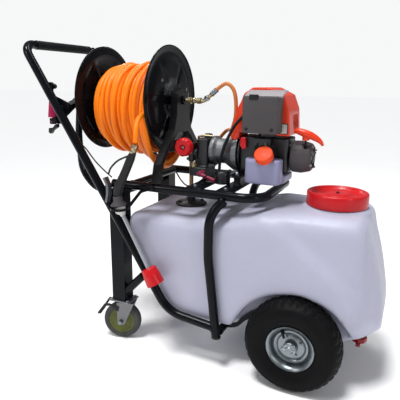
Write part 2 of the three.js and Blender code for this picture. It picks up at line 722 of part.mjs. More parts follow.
// ---------------------------------------------------------------- pump
function buildPump() {
  const shaftHole = rod('x', 8.5, -350, -290, 16).translate(0, 0, CRANKSHAFT_Z);
  const crankHousing = roundedBlock(-340, -306, -42, 42, 541, 628, 9);
  const foot = box(-322, -288, -40, 40, 507.8, 516);
  const web = box(-320, -308, -26, 26, 514, 545);
  const cylinders = [-27, 0, 27].map((y) => rod('x', 11, -358, -338, 14).translate(0, y, 584));
  const head = roundedBlock(-366, -350, -46, 46, 560, 614, 5);
  const elbow = join(
    moved(rod('z', 10, 585, 606, 14), SUCTION.x, 0, 0),
    rod('x', 8, SUCTION.x, -360, 12).translate(0, 0, 598),
  );
  const outlet = join(
    moved(rod('z', 9, 516, 562, 12), -352, 52, 0),
    moved(rod('y', 9, 40, 56, 12), -352, 0, 560),
  );
  const valveBlock = box(-352, -300, -64, -40, 522, 548);
  const damper = turned('z', [
    [0, 507.8], [21, 507.8], [22, 512], [22, 538], [18, 545], [0, 545],
  ], 20);
  const damperBase = box(-300, -240, -72, -34, 507.8, 513);
  add('pump_body', cut(join(crankHousing, foot, web, ...cylinders, head, elbow, outlet,
    valveBlock, moved(damper, -250, -58, 0), damperBase), shaftHole), darkMetal);

  const knobAt = v3(-368, 0, 604);
  const knob = join(
    turned('y', [[0, -78], [9, -78], [10, -74], [22, -78], [27, -72], [27, -58], [22, -54], [0, -54]], 24),
    rod('y', 7, -56, -46.4, 12),
  );
  add('pressure_knob', moved(knob, knobAt.x, 0, knobAt.z), redPlastic);

  const lever = join(
    rod('y', 8, -92, -64.4, 12).translate(-308, 0, 535),
    tube([v3(-308, -88, 535), v3(-262, -88, 520)], 1, 6, 10),
  );
  add('valve_lever', lever, pinkPlastic);

  const hoseRoute = [
    v3(-311.6, 0, 752.6), v3(-296, 0, 766), v3(-268, 0, 782), v3(-246, 0, 765),
    v3(-238, 0, 730), v3(-240, 4, 690), v3(-252, 16, 660), v3(-268, 50, 650),
    v3(-300, 84, 640), v3(-334, 84, 600), v3(-346, 70, 566), v3(-347, 66, 560),
  ];
  add('pump_hose', smoothTube(hoseRoute, 5.5, 30, 8), tanHose);
}

// ---------------------------------------------------------------- engine
function buildEngine() {
  const z = CRANKSHAFT_Z;
  const bell = turnedRing('x', [
    [18, -304], [42, -304], [43, -292], [36, -282], [36, -262], [56, -230], [58, -214],
    [54, -214], [51, -228], [32, -258], [31, -286], [18, -290],
  ], MEDIUM);
  add('clutch_housing', bell.translate(0, 0, z), castMetal);

  const shaft = join(
    rod('x', 7.5, -344, -44, 14),
    rod('x', 26, -258, -240, 24, 26),
    rod('x', 17, -150, -120, 20),
  );
  add('drive_shaft', shaft.translate(0, 0, z), zinc);

  const block = join(
    roundedBlock(-212, -72, -36, 44, 549, 642, 10),
    rod('x', 52, -213.4, -206, 28).translate(0, 0, z),
  );
  const bore = rod('x', 19, -220, -64, 20).translate(0, 0, z);
  add('crankcase', cut(block, bore), castMetal);

  const fins = [0, 1, 2, 3, 4].map((k) => box(-178, -104, -33, 40, 654 + 17 * k, 659 + 17 * k));
  const barrel = moved(rod('z', 27, 642.4, 740, 12), -141, 3, 0);
  add('cylinder', join(barrel, ...fins), castMetal);

  add('engine_shroud', engineShroud(), orangePlastic);
  const filter = cut(
    roundedBlock(-188, -96, -96, -48, 648, 757, 9),
    roundedBlock(-185, -99, -93, -40, 652, 753, 7),
    box(-168, -140, -100, -90, 749, 760),
  );
  add('air_filter_cover', filter, greyPlastic);

  const carburettor = join(
    box(-166, -116, -60, -37, 622, 642),
    moved(rod('z', 11, 604, 624, 16), -150, -50, 0),
  );
  add('carburettor', carburettor, darkMetal);

  const starter = turnedRing('x', [
    [8, -67], [43, -67], [44, -40], [38, -18], [32, -13], [8, -13],
    [8, -17], [30, -17], [35, -21], [40, -41], [39, -63], [8, -63],
  ], MEDIUM);
  const ropeHole = moved(rod('z', 4.2, 606, 650, 10), -30, -26, 0);
  add('starter_housing', cut(starter.translate(0, 0, z), ropeHole), greyPlastic);

  const gripBar = swept([v3(-57, -26, 667), v3(-30, -26, 660), v3(10, -26, 642)],
    roundedOutline(20, 16, 7, 2));
  const grip = join(gripBar, moved(rod('z', 11, 635, 662, 14), -30, -26, 0),
    moved(rod('z', 2.4, 600, 645, 8), -30, -26, 0));
  add('starter_grip', grip, orangePlastic);

  add('fuel_tank', fuelTank(), whiteTank);
  const capTurn = v3(0, -1, 1);
  const cap = turned('z', [
    [0, 4], [20, 4], [20, 0.4], [24, 0.4], [24.5, 17], [22, 20], [0, 20],
  ], MEDIUM);
  add('fuel_cap', pointed(cap, v3(-127, -84, 590), capTurn), orangePlastic);

  const silencer = join(
    roundedBlock(-172, -92, 82, 118, 656, 722, 10),
    rod('y', 8, 74, 84, 12).translate(-132, 0, 690),
  );
  add('silencer', cut(silencer, rod('y', 5, 70, 90, 12).translate(-132, 0, 690)), darkMetal);

  const posts = [-72, 72].map((y) => moved(rod('z', 8.5, 507.8, 538, 14), -201, y, 0));
  const bridge = box(-212, -186, -84, 84, 534, 539.6);
  const saddle = box(-205.6, -186, -30, 36, 539, 548.6);
  add('engine_mount', join(...posts, bridge, saddle), blackPaint);
}

// Sheet-moulded cover over the cylinder, open below and towards the air filter.
function engineShroud() {
  const shell = (inset) => {
    const top = 773 - inset;
    const outline = [
      [-224 + inset, 652], [-214 + inset, 720], [-200 + inset, 757 - inset], [-176, top],
      [-130, top], [-90 - inset, 754 - inset], [-75 - inset, 716], [-70 - inset, 648],
    ];
    return plateXZ(outline, -44 + inset, 78 - inset);
  };
  const hollow = moved(shell(3.5), 0, 0, -2);
  const vents = [0, 1, 2, 3].map((k) => box(-80, -50, 6 + 14 * k, 13 + 14 * k, 664, 704));
  const exhaust = rod('y', 12, 60, 90, 14).translate(-132, 0, 690);
  const intake = box(-170, -112, -60, -30, 640, 700);
  return cut(shell(0), hollow, ...vents, exhaust, intake);
}

function fuelTank() {
  const upright = roundedBlock(-178, -80, -90, -40, 522, 590, 16, 4);
  const under = roundedBlock(-172, -74, -60, 40, 522, 544, 12, 3);
  const bevel = box(-200, -60, -40, 40, 0, 40).rotateX(Math.PI / 4).translate(0, -83.6, 589.6);
  const spout = pointed(rod('z', 19, -14, 12, 20), v3(-127, -78, 584), v3(0, -1, 1));
  return join(cut(join(upright, under), bevel), spout);
}

// ---------------------------------------------------------------- spray gun
const LANCE = { top: v3(-497, GUN_Y, 434), bottom: v3(-384, GUN_Y, 228) };

function buildGun() {
  const down = LANCE.bottom.clone().sub(LANCE.top).normalize();
  const up = down.clone().negate();
  const spot = (s) => LANCE.top.clone().addScaledVector(down, s);

  const grip = swept([v3(-452, GUN_Y, 600), v3(-470, GUN_Y, 560), v3(-497, GUN_Y, 506)],
    roundedOutline(24, 20, 8, 2));
  const body = tube([v3(-492, GUN_Y, 518), v3(-509, GUN_Y, 492), v3(-505, GUN_Y, 462)], 20, 12, 12);
  const skirt = pointed(turned('z', [[0, -26], [22, -26], [22, -21], [13, 2], [0, 2]], 20),
    v3(-507, GUN_Y, 470), v3(-0.15, 0, 1));
  const trigger = plateXZ([
    [-550, 522], [-542, 526], [-531, 502], [-532, 476], [-538, 452], [-545, 454],
    [-540, 476], [-539, 500],
  ], GUN_Y - 9, GUN_Y + 9);
  add('gun_trigger', trigger, castMetal);

  const lance = join(
    pointed(turned('z', [[0, 0], [11, 0], [16, 10], [16, 17], [0, 17]], 16), spot(-2), up),
    pointed(rod('z', 4.6, -4, 182, 12), spot(0), down),
  );
  const nozzle = turnedRing('z', [
    [5, 180], [20, 180], [22, 183], [27, 226], [27, 230], [22, 230], [17, 190], [5, 188],
  ], MEDIUM);
  add('gun_nozzle', pointed(nozzle, spot(0), down), redPlastic);

  const ferrule = join(
    tube([v3(-454, GUN_Y, 595), v3(-444, GUN_Y, 618)], 1, 8, 10),
    tube([v3(-444, GUN_Y, 617), v3(-442, GUN_Y, 622)], 1, 9.5, 10),
  );
  add('gun_body', join(grip, body, skirt, lance, ferrule), blackPlastic);

  // Up out of the ferrule, then slanting into the gap between the turns and the flange.
  const bend = 66;
  const lean = 1.25;
  const foot = v3(-441.4, GUN_Y, 628);
  const tail = [];
  for (let i = 0; i <= 20; i += 1) {
    const run = i * 6.2;
    const turn = Math.min(run / bend, lean);
    const rest = Math.max(run - bend * lean, 0);
    const across = bend * (1 - Math.cos(turn)) + rest * Math.sin(lean);
    const up = bend * Math.sin(turn) + rest * Math.cos(lean);
    const ease = Math.min(run / 100, 1);
    const aside = 16.2 * ease * ease * (3 - 2 * ease);
    tail.push(v3(foot.x - aside, foot.y + across, foot.z + up));
  }
  add('gun_hose', smoothTube(tail, 7.2, 14), orangeHose);
}

// Rod from the deck rail to a ring that the gun's collar sits in.
function gunHolder() {
  const ring = turnedRing('z', [[18.5, 435], [25, 435], [25, 440.6], [18.5, 440.6]], 18);
  const arm = tube([
    v3(-424, -DECK.y - TUBE_RADIUS, DECK.z), v3(-446, -178, 488), v3(-480, -197, 438),
  ], 14, 4.5, 8);
  const lug = box(-434, -414, -DECK.y - TUBE_RADIUS - 5, -DECK.y - 8, 488, 502);
  return join(moved(ring, -502, GUN_Y, 0), arm, lug);
}

// ---------------------------------------------------------------- throttle
const THROTTLE = { x: -762, z: 767, y: -SIDE_Y + TUBE_RADIUS - 1 };

function throttleClamp() {
  const { x, y, z } = THROTTLE;
  return join(box(x - 9, x + 9, y, y + 10, z - 14, z + 14),
    rod('y', 3, y + 5, y + 24, 10).translate(x, 0, z));
}

function buildThrottle() {
  const { x, y, z } = THROTTLE;
  const [from, to] = [y + 10.4, y + 16];
  const blade = plateXZ([[x + 5, z + 4], [x + 4, z - 5], [x + 34, z + 4], [x + 36, z + 12]],
    from, to);
  const ring = rod('y', 8, from, to, 14).translate(x, 0, z);
  const hole = rod('y', 3.3, from - 2, to + 2, 10).translate(x, 0, z);
  add('throttle_lever', cut(join(ring, blade), hole), redPlastic);
}

buildFrame();
buildRearWheels();
buildCasters();
buildReel();
buildTank();
buildPump();
buildEngine();
buildGun();
buildThrottle();

// The cart stands over its own middle: centred in X and Y, wheels on the ground.
const CENTRE = { x: 325, y: 11.75 };
cart.position.set(CENTRE.x, CENTRE.y, 0);

const part = new THREE.Group();
part.add(cart);
export default part;
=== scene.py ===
"""Looks for the wheeled sprayer cart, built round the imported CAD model."""

import json
import math

import bmesh
import bpy
import numpy as np
from mathutils import Matrix, Vector


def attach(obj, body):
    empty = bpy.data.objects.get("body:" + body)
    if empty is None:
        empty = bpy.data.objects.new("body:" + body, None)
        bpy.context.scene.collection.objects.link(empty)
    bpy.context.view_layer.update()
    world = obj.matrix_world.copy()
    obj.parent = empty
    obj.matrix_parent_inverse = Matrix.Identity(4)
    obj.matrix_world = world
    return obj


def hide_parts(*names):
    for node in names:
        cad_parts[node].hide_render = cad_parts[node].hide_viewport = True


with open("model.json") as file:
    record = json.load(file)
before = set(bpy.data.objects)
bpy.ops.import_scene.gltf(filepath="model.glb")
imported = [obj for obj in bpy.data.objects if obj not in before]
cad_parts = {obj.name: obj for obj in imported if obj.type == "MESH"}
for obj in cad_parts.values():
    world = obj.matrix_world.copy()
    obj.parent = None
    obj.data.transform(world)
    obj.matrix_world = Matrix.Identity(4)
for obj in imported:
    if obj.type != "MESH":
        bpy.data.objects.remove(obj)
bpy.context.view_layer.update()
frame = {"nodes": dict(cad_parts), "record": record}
NODES = frame["nodes"]
SHIFT = Vector((325.0, 11.75, 0.0))
MM = 0.001


def at(x, y, z):
    """A point of the cart, in millimetres from the rear axle, in the row frame."""
    return (Vector((x, y, z)) + SHIFT) * MM


# ------------------------------------------------------------------ node helpers
class Nodes:
    """A material's node tree, with short calls for the nodes used here."""

    def __init__(self, name):
        self.material = bpy.data.materials.new(name)
        self.material.use_nodes = True
        self.tree = self.material.node_tree
        self.shader = self.tree.nodes["Principled BSDF"]
        self.coords = self.tree.nodes.new("ShaderNodeTexCoord").outputs["Object"]

    def link(self, source, target):
        self.tree.links.new(source, target)

    def new(self, kind, **inputs):
        node = self.tree.nodes.new(kind)
        for key, value in inputs.items():
            node.inputs[key.replace("_", " ")].default_value = value
        return node

    def noise(self, scale, detail=3.0, roughness=0.55, stretch=None):
        node = self.new("ShaderNodeTexNoise", Scale=scale, Detail=detail, Roughness=roughness)
        self.link(self.stretched(stretch), node.inputs["Vector"])
        return node.outputs["Fac"]

    def stretched(self, stretch):
        if stretch is None:
            return self.coords
        mapping = self.new("ShaderNodeMapping")
        mapping.inputs["Scale"].default_value = stretch
        self.link(self.coords, mapping.inputs["Vector"])
        return mapping.outputs["Vector"]

    def ramp(self, source, low, high, start, end):
        node = self.new("ShaderNodeMapRange")
        node.inputs["From Min"].default_value = low
        node.inputs["From Max"].default_value = high
        node.inputs["To Min"].default_value = start
        node.inputs["To Max"].default_value = end
        self.link(source, node.inputs["Value"])
        return node.outputs["Result"]

    def mix(self, factor, first, second):
        node = self.tree.nodes.new("ShaderNodeMix")
        node.data_type = "RGBA"
        for socket, value in ((node.inputs["A"], first), (node.inputs["B"], second)):
            self.plug(socket, value)
        self.plug(node.inputs["Factor"], factor)
        return node.outputs["Result"]

    def plug(self, socket, value):
        if isinstance(value, bpy.types.NodeSocket):
            self.link(value, socket)
        elif isinstance(value, tuple) and len(value) == 3:
            socket.default_value = (*value, 1.0)
        else:
            socket.default_value = value

    def math(self, operation, first, second=0.0):
        node = self.tree.nodes.new("ShaderNodeMath")
        node.operation = operation
        self.plug(node.inputs[0], first)
        self.plug(node.inputs[1], second)
        return node.outputs["Value"]

    def bump(self, height, strength, distance, normal=None):
        node = self.new("ShaderNodeBump", Strength=strength, Distance=distance)
        self.link(height, node.inputs["Height"])
        if normal is not None:
            self.link(normal, node.inputs["Normal"])
        return node.outputs["Normal"]

    def set(self, **inputs):
        for key, value in inputs.items():
            self.plug(self.shader.inputs[key.replace("_", " ")], value)
        return self


def shade(colour, factor):
    return tuple(min(1.0, channel * factor) for channel in colour)


def paint(name, colour, rough, grain=260.0, coat=0.03, dust=(0.03, 0.03, 0.032)):
    """Sprayed paint: orange-peel ripple, slight gloss changes, dust in the low spots."""
    n = Nodes(name)
    cloud = n.noise(9.0, 5.0, 0.6)
    fine = n.noise(140.0, 4.0, 0.7)
    veil = n.math("MULTIPLY", n.ramp(cloud, 0.5, 0.85, 0.0, 1.0), n.ramp(fine, 0.4, 0.75, 0.0, 0.5))
    n.set(Base_Color=n.mix(veil, n.mix(cloud, shade(colour, 0.8), shade(colour, 1.25)), dust))
    n.set(Roughness=n.ramp(fine, 0.3, 0.75, rough * 0.75, rough * 1.35))
    n.set(Coat_Weight=coat, Coat_Roughness=0.06, Specular_IOR_Level=0.1)
    n.set(Normal=n.bump(n.noise(grain, 2.0), 0.14, 0.0006))
    return n.material


def plastic(name, colour, rough, grain=900.0, relief=0.12, vary=0.12, coat=0.0, soft=0.0):
    """Moulded plastic: fine skin texture, soft colour change, small handling marks."""
    n = Nodes(name)
    cloud = n.noise(14.0, 4.0, 0.6)
    marks = n.noise(70.0, 6.0, 0.75, (1.0, 0.25, 2.5))
    tint = n.mix(cloud, shade(colour, 1.0 - vary), shade(colour, 1.0 + vary))
    scuff = n.ramp(marks, 0.62, 0.8, 0.0, 0.35)
    n.set(Base_Color=n.mix(scuff, tint, tuple(0.85 * c + 0.05 for c in colour)))
    n.set(Roughness=n.ramp(marks, 0.3, 0.8, rough * 0.85, min(1.0, rough * 1.3)))
    n.set(Normal=n.bump(n.noise(grain, 2.0), relief, 0.0004))
    n.set(Coat_Weight=coat, Coat_Roughness=0.1, Specular_IOR_Level=0.28)
    n.set(Subsurface_Weight=soft, Subsurface_Scale=0.006)
    return n.material


def metal(name, colour, rough, grain=420.0, relief=0.1, spangle=0.0, stain=(0.16, 0.13, 0.1)):
    """Bare or plated metal with a grain, cloudy gloss and a little staining."""
    n = Nodes(name)
    cloud = n.noise(26.0, 6.0, 0.7)
    fine = n.noise(grain, 3.0, 0.6)
    tint = n.mix(cloud, shade(colour, 0.75), shade(colour, 1.15))
    if spangle:
        cells = n.new("ShaderNodeTexVoronoi", Scale=110.0)
        n.link(n.coords, cells.inputs["Vector"])
        flakes = n.ramp(cells.outputs["Distance"], 0.0, 0.8, 0.0, spangle)
        tint = n.mix(flakes, tint, shade(colour, 0.55))
    n.set(Base_Color=n.mix(n.ramp(cloud, 0.6, 0.85, 0.0, 0.45), tint, stain))
    n.set(Metallic=1.0, Roughness=n.ramp(cloud, 0.25, 0.8, rough * 0.7, rough * 1.5))
    n.set(Normal=n.bump(fine, relief, 0.0006))
    return n.material


def tank_plastic():
    """Blow-moulded polyethylene: waxy, slightly cloudy and faintly mottled."""
    n = Nodes("tank_skin_mat")
    cloud = n.noise(5.0, 4.0, 0.6)
    mottle = n.noise(60.0, 5.0, 0.65)
    tint = n.mix(cloud, TANK_DARK, TANK_LIGHT)
    n.set(Base_Color=n.mix(n.ramp(mottle, 0.45, 0.8, 0.0, 0.18), tint, (0.36, 0.365, 0.46)))
    n.set(Roughness=n.ramp(mottle, 0.3, 0.8, 0.34, 0.52))
    n.set(Subsurface_Weight=0.25, Subsurface_Scale=0.012, Specular_IOR_Level=0.35)
    n.shader.inputs["Subsurface Radius"].default_value = (0.9, 0.9, 1.0)
    waves = n.bump(n.noise(16.0, 2.0), 0.08, 0.004)
    n.set(Normal=n.bump(n.noise(700.0, 2.0), 0.06, 0.0004, waves))
    return n.material


def rubber(name, colour, rough, grain=500.0):
    """Rubber: matt, greyer where it has bloomed, with moulding grain."""
    n = Nodes(name)
    bloom = n.noise(22.0, 6.0, 0.7)
    n.set(Base_Color=n.mix(n.ramp(bloom, 0.45, 0.8, 0.0, 0.6), colour, shade(colour, 2.2)))
    n.set(Roughness=n.ramp(bloom, 0.3, 0.8, rough * 0.85, min(1.0, rough * 1.15)))
    n.set(Normal=n.bump(n.noise(grain, 3.0), 0.25, 0.0006), Specular_IOR_Level=0.08)
    return n.material


def hose_plastic(name, colour, dark, rough=0.38):
    """Flexible hose: even colour, faint braid ripple under the skin, grime in streaks."""
    n = Nodes(name)
    cloud = n.noise(11.0, 4.0, 0.6)
    grime = n.noise(46.0, 6.0, 0.7, (1.0, 2.2, 1.0))
    tint = n.mix(cloud, shade(colour, 0.9), shade(colour, 1.08))
    n.set(Base_Color=n.mix(n.ramp(grime, 0.6, 0.82, 0.0, 0.5), tint, dark))
    n.set(Roughness=n.ramp(grime, 0.35, 0.8, rough * 0.85, rough * 1.4), Specular_IOR_Level=0.25)
    n.set(Normal=n.bump(n.noise(650.0, 2.0), 0.12, 0.0005))
    n.set(Subsurface_Weight=0.08, Subsurface_Scale=0.004)
    return n.material


TANK_DARK = (0.4, 0.405, 0.51)
TANK_LIGHT = (0.47, 0.475, 0.59)
BLACK_GLOSS = paint("black_gloss", (0.004, 0.0045, 0.006), 0.2)
GREY_SATIN = paint("grey_satin", (0.008, 0.008, 0.009), 0.36, coat=0.1)
MATERIALS = {
    "black_paint": BLACK_GLOSS,
    "grey_paint": GREY_SATIN,
    "zinc": metal("zinc_plate", (0.27, 0.3, 0.32), 0.32, spangle=0.35),
    "fork_metal": metal("fork_metal", (0.2, 0.2, 0.21), 0.42),
    "cast_metal": metal("cast_alloy", (0.19, 0.2, 0.21), 0.45, grain=300.0, relief=0.5),
    "dark_metal": metal("dark_casting", (0.055, 0.057, 0.06), 0.42, grain=260.0, relief=0.5),
    "brass": metal("brass_mat", (0.42, 0.35, 0.21), 0.34),
    "chrome": metal("chrome_mat", (0.42, 0.43, 0.47), 0.4, relief=0.0),
    "black_rubber": rubber("sleeve_rubber", (0.012, 0.012, 0.014), 0.6),
    "tyre_rubber": rubber("tyre_mat", (0.0035, 0.0035, 0.004), 0.55),
    "grey_rubber": rubber("caster_mat", (0.06, 0.062, 0.058), 0.6),
    "orange_hose": hose_plastic("hose_orange", (0.95, 0.21, 0.002), (0.6, 0.09, 0.0)),
    "tan_hose": hose_plastic("hose_tan", (0.58, 0.2, 0.06), (0.3, 0.1, 0.03)),
    "clear_hose": hose_plastic("hose_brown", (0.24, 0.14, 0.06), (0.1, 0.06, 0.03)),
    "white_tank": tank_plastic(),
    "fuel_plastic": plastic("fuel_mat", (0.27, 0.275, 0.42), 0.35, relief=0.08, soft=0.1),
    "red_plastic": plastic("red_mat", (0.52, 0.005, 0.009), 0.34, coat=0.1),
    "orange_plastic": plastic("orange_mat", (0.7, 0.04, 0.008), 0.3, coat=0.15),
    "cap_plastic": plastic("cap_mat", (0.8, 0.07, 0.012), 0.5),
    "pink_plastic": plastic("pink_mat", (0.4, 0.012, 0.08), 0.34, coat=0.1),
    "dark_red": plastic("dark_red_mat", (0.22, 0.004, 0.008), 0.36),
    "dark_pink": plastic("dark_pink_mat", (0.2, 0.012, 0.04), 0.4),
    "grey_plastic": plastic("grey_mat", (0.06, 0.054, 0.058), 0.5, relief=0.3),
    # a pale grey for the air filter's top lip: a painted highlight on the lit top edge
    "painted_highlight_grey": plastic("pale_grey_mat", (0.3, 0.285, 0.295), 0.45, relief=0.2),
    "black_plastic": plastic("black_mat", (0.01, 0.01, 0.011), 0.45, relief=0.25),
    "olive_hub": plastic("olive_mat", (0.105, 0.115, 0.025), 0.5),
    "white_plastic": plastic("white_mat", (0.6, 0.6, 0.58), 0.4),
    "label": plastic("label_mat", (0.5, 0.47, 0.45), 0.35),
}


# ------------------------------------------------------------------ mesh helpers
def new_object(name, mesh_or_bm, material):
    if isinstance(mesh_or_bm, bmesh.types.BMesh):
        mesh = bpy.data.meshes.new(name)
        mesh_or_bm.to_mesh(mesh)
        mesh_or_bm.free()
    else:
        mesh = mesh_or_bm
    obj = bpy.data.objects.new(name, mesh)
    bpy.context.scene.collection.objects.link(obj)
    obj.data.materials.append(MATERIALS[material])
    return obj


def smooth_by_angle(obj, degrees=35.0):
    """Smooth shading, with edges sharper than the angle kept crisp."""
    bm = bmesh.new()
    bm.from_mesh(obj.data)
    limit = math.radians(degrees)
    sharp = [e.is_manifold and e.calc_face_angle(0.0) > limit for e in bm.edges]
    bm.free()
    obj.data.polygons.foreach_set("use_smooth", [True] * len(obj.data.polygons))
    for edge, is_sharp in zip(obj.data.edges, sharp):
        edge.use_edge_sharp = is_sharp
    return obj


def bevelled(obj, width, segments=2, degrees=32.0):
    """Rounded edges, as cast, moulded or bent parts have."""
    modifier = obj.modifiers.new("edges", "BEVEL")
    modifier.width = width
    modifier.segments = segments
    modifier.limit_method = "ANGLE"
    modifier.angle_limit = math.radians(degrees)
    modifier.harden_normals = False
    return obj


def softened(obj, voxel, rounds=6, factor=0.5):
    """Remeshed evenly and relaxed, so that every edge has a moulded radius."""
    remesh = obj.modifiers.new("even", "REMESH")
    remesh.mode = "VOXEL"
    remesh.voxel_size = voxel
    remesh.use_smooth_shade = True
    relax = obj.modifiers.new("relax", "SMOOTH")
    relax.factor = factor
    relax.iterations = rounds
    return obj


def applied(obj):
    """The object with its modifiers made part of the mesh."""
    graph = bpy.context.evaluated_depsgraph_get()
    mesh = bpy.data.meshes.new_from_object(obj.evaluated_get(graph))
    obj.modifiers.clear()
    obj.data = mesh
    return obj


def joined(name, pieces, material=None):
    """One mesh object out of several, each with its own materials."""
    graph = bpy.context.evaluated_depsgraph_get()
    bm = bmesh.new()
    slots = []
    for piece in pieces:
        mesh = bpy.data.meshes.new_from_object(piece.evaluated_get(graph))
        mesh.transform(piece.matrix_world)
        start = len(bm.faces)
        bm.from_mesh(mesh)
        bm.faces.ensure_lookup_table()
        own = [m for m in mesh.materials] or [MATERIALS[material]]
        for m in own:
            if m not in slots:
                slots.append(m)
        for face in bm.faces[start:]:
            face.material_index = slots.index(own[min(face.material_index, len(own) - 1)])
        bpy.data.objects.remove(piece)
        bpy.data.meshes.remove(mesh)
    mesh = bpy.data.meshes.new(name)
    bm.to_mesh(mesh)
    bm.free()
    for m in slots:
        mesh.materials.append(m)
    obj = bpy.data.objects.new(name, mesh)
    bpy.context.scene.collection.objects.link(obj)
    return obj


def frame_of(direction):
    """Two unit vectors square to a direction."""
    side = Vector((0, 0, 1)) if abs(direction.z) < 0.9 else Vector((0, 1, 0))
    first = direction.cross(side).normalized()
    return first, direction.cross(first).normalized()


def bent(corners, radius, steps=10):
    """Straight runs between points, with an arc at every inner point."""
    points = [Vector(corners[0])]
    for i in range(1, len(corners) - 1):
        bend = radius[i - 1] if isinstance(radius, (list, tuple)) else radius
        here = Vector(corners[i])
        into = (here - Vector(corners[i - 1])).normalized()
        out = (Vector(corners[i + 1]) - here).normalized()
        half = into.angle(out) / 2
        start = here - into * bend * math.tan(half)
        side = (out - into * out.dot(into)).normalized()
        centre = start + side * bend
        for k in range(steps + 1):
            angle = 2 * half * k / steps
            points.append(centre + into * bend * math.sin(angle) - side * bend * math.cos(angle))
    points.append(Vector(corners[-1]))
    return points


def swept(name, points, radius, material, sides=20, caps=True):
    """A round tube along points, by a frame that turns as little as it can."""
    bm = bmesh.new()
    rings = []
    points = [Vector(p) for p in points]
    radii = radius if isinstance(radius, (list, tuple)) else [radius] * len(points)
    tangent = (points[1] - points[0]).normalized()
    first, _ = frame_of(tangent)
    for i, point in enumerate(points):
        before = points[max(i - 1, 0)]
        after = points[min(i + 1, len(points) - 1)]
        new_tangent = (after - before).normalized()
        first = (first - new_tangent * first.dot(new_tangent)).normalized()
        second = new_tangent.cross(first)
        ring = []
        for k in range(sides):
            angle = 2 * math.pi * k / sides
            offset = first * math.cos(angle) + second * math.sin(angle)
            ring.append(bm.verts.new(point + offset * radii[i]))
        rings.append(ring)
    for a, b in zip(rings, rings[1:]):
        for k in range(sides):
            bm.faces.new((a[k], a[(k + 1) % sides], b[(k + 1) % sides], b[k]))
    if caps:
        bm.faces.new(list(reversed(rings[0])))
        bm.faces.new(rings[-1])
    bmesh.ops.recalc_face_normals(bm, faces=bm.faces)
    return smooth_by_angle(new_object(name, bm, material), 50.0)


def spline(points, count):
    """A smooth curve through points, evenly spaced."""
    points = [Vector(p) for p in points]
    padded = [points[0] * 2 - points[1], *points, points[-1] * 2 - points[-2]]
    dense = []
    for i in range(len(points) - 1):
        p0, p1, p2, p3 = padded[i:i + 4]
        for k in range(24):
            t = k / 24
            dense.append(0.5 * (2 * p1 + (p2 - p0) * t + (2 * p0 - 5 * p1 + 4 * p2 - p3) * t * t
                                + (3 * p1 - p0 - 3 * p2 + p3) * t ** 3))
    dense.append(points[-1])
    lengths = [0.0]
    for a, b in zip(dense, dense[1:]):
        lengths.append(lengths[-1] + (b - a).length)
    result, j = [], 0
    for k in range(count):
        goal = lengths[-1] * k / (count - 1)
        while j < len(lengths) - 2 and lengths[j + 1] < goal:
            j += 1
        span = max(lengths[j + 1] - lengths[j], 1e-9)
        result.append(dense[j].lerp(dense[j + 1], min(1.0, (goal - lengths[j]) / span)))
    return result


AXES = {
    "x": (Vector((1, 0, 0)), Vector((0, 1, 0)), Vector((0, 0, 1))),
    "y": (Vector((0, 1, 0)), Vector((0, 0, 1)), Vector((1, 0, 0))),
    "z": (Vector((0, 0, 1)), Vector((1, 0, 0)), Vector((0, 1, 0))),
}


def lathe(name, centre, axis, profile, material, sides=64, relief=None, sharp=40.0, closed=None):
    """Turned piece: the profile is (radius, place along the axis) in millimetres.

    relief(angle, index) gives an extra (radius, place) for a point.
    """
    along, first, second = AXES[axis] if isinstance(axis, str) else axis
    closed = profile[0][0] > 0 and profile[-1][0] > 0 if closed is None else closed
    bm = bmesh.new()
    rings = []
    for k in range(sides):
        angle = 2 * math.pi * k / sides
        out = first * math.cos(angle) + second * math.sin(angle)
        ring = []
        for i, (radius, place) in enumerate(profile):
            extra = relief(angle, i) if relief else (0.0, 0.0)
            if radius <= 0 and rings:
                ring.append(rings[0][i])
                continue
            offset = out * (radius + extra[0]) + along * (place + extra[1])
            ring.append(bm.verts.new(centre + offset * MM))
        rings.append(ring)
    count = len(profile) if closed else len(profile) - 1
    for k in range(sides):
        a, b = rings[k], rings[(k + 1) % sides]
        for i in range(count):
            j = (i + 1) % len(profile)
            corners = list(dict.fromkeys((a[i], b[i], b[j], a[j])))
            if len(corners) > 2:
                bm.faces.new(corners)
    bmesh.ops.recalc_face_normals(bm, faces=bm.faces)
    return smooth_by_angle(new_object(name, bm, material), sharp)


def block(name, low, high, material, bevel=0.0015, segments=3):
    """A box between two cart points with rounded edges."""
    low, high = at(*low), at(*high)
    bm = bmesh.new()
    bmesh.ops.create_cube(bm, size=1.0)
    size = high - low
    for v in bm.verts:
        v.co = Vector((v.co.x * size.x, v.co.y * size.y, v.co.z * size.z)) + (low + high) / 2
    if bevel:
        bmesh.ops.bevel(bm, geom=bm.edges[:], offset=bevel, segments=segments, affect="EDGES",
                        profile=0.5)
    return smooth_by_angle(new_object(name, bm, material), 40.0)


def prism(name, outline, low, high, axis, material, bevel=0.001, segments=3):
    """An outline pushed along an axis. For x it is (y, z), for y (x, z), for z (x, y)."""
    place = {
        "x": lambda a, b, c: at(c, a, b),
        "y": lambda a, b, c: at(a, c, b),
        "z": lambda a, b, c: at(a, b, c),
    }[axis]
    bm = bmesh.new()
    bottom = [bm.verts.new(place(a, b, low)) for a, b in outline]
    top = [bm.verts.new(place(a, b, high)) for a, b in outline]
    bm.faces.new(bottom)
    bm.faces.new(list(reversed(top)))
    for i in range(len(outline)):
        j = (i + 1) % len(outline)
        bm.faces.new((bottom[i], top[i], top[j], bottom[j]))
    bmesh.ops.recalc_face_normals(bm, faces=bm.faces)
    if bevel:
        edges = [e for e in bm.edges if e.calc_face_angle(0.0) > math.radians(25)]
        bmesh.ops.bevel(bm, geom=edges, offset=bevel, segments=segments, affect="EDGES",
                        profile=0.5, clamp_overlap=True)
    return smooth_by_angle(new_object(name, bm, material), 40.0)


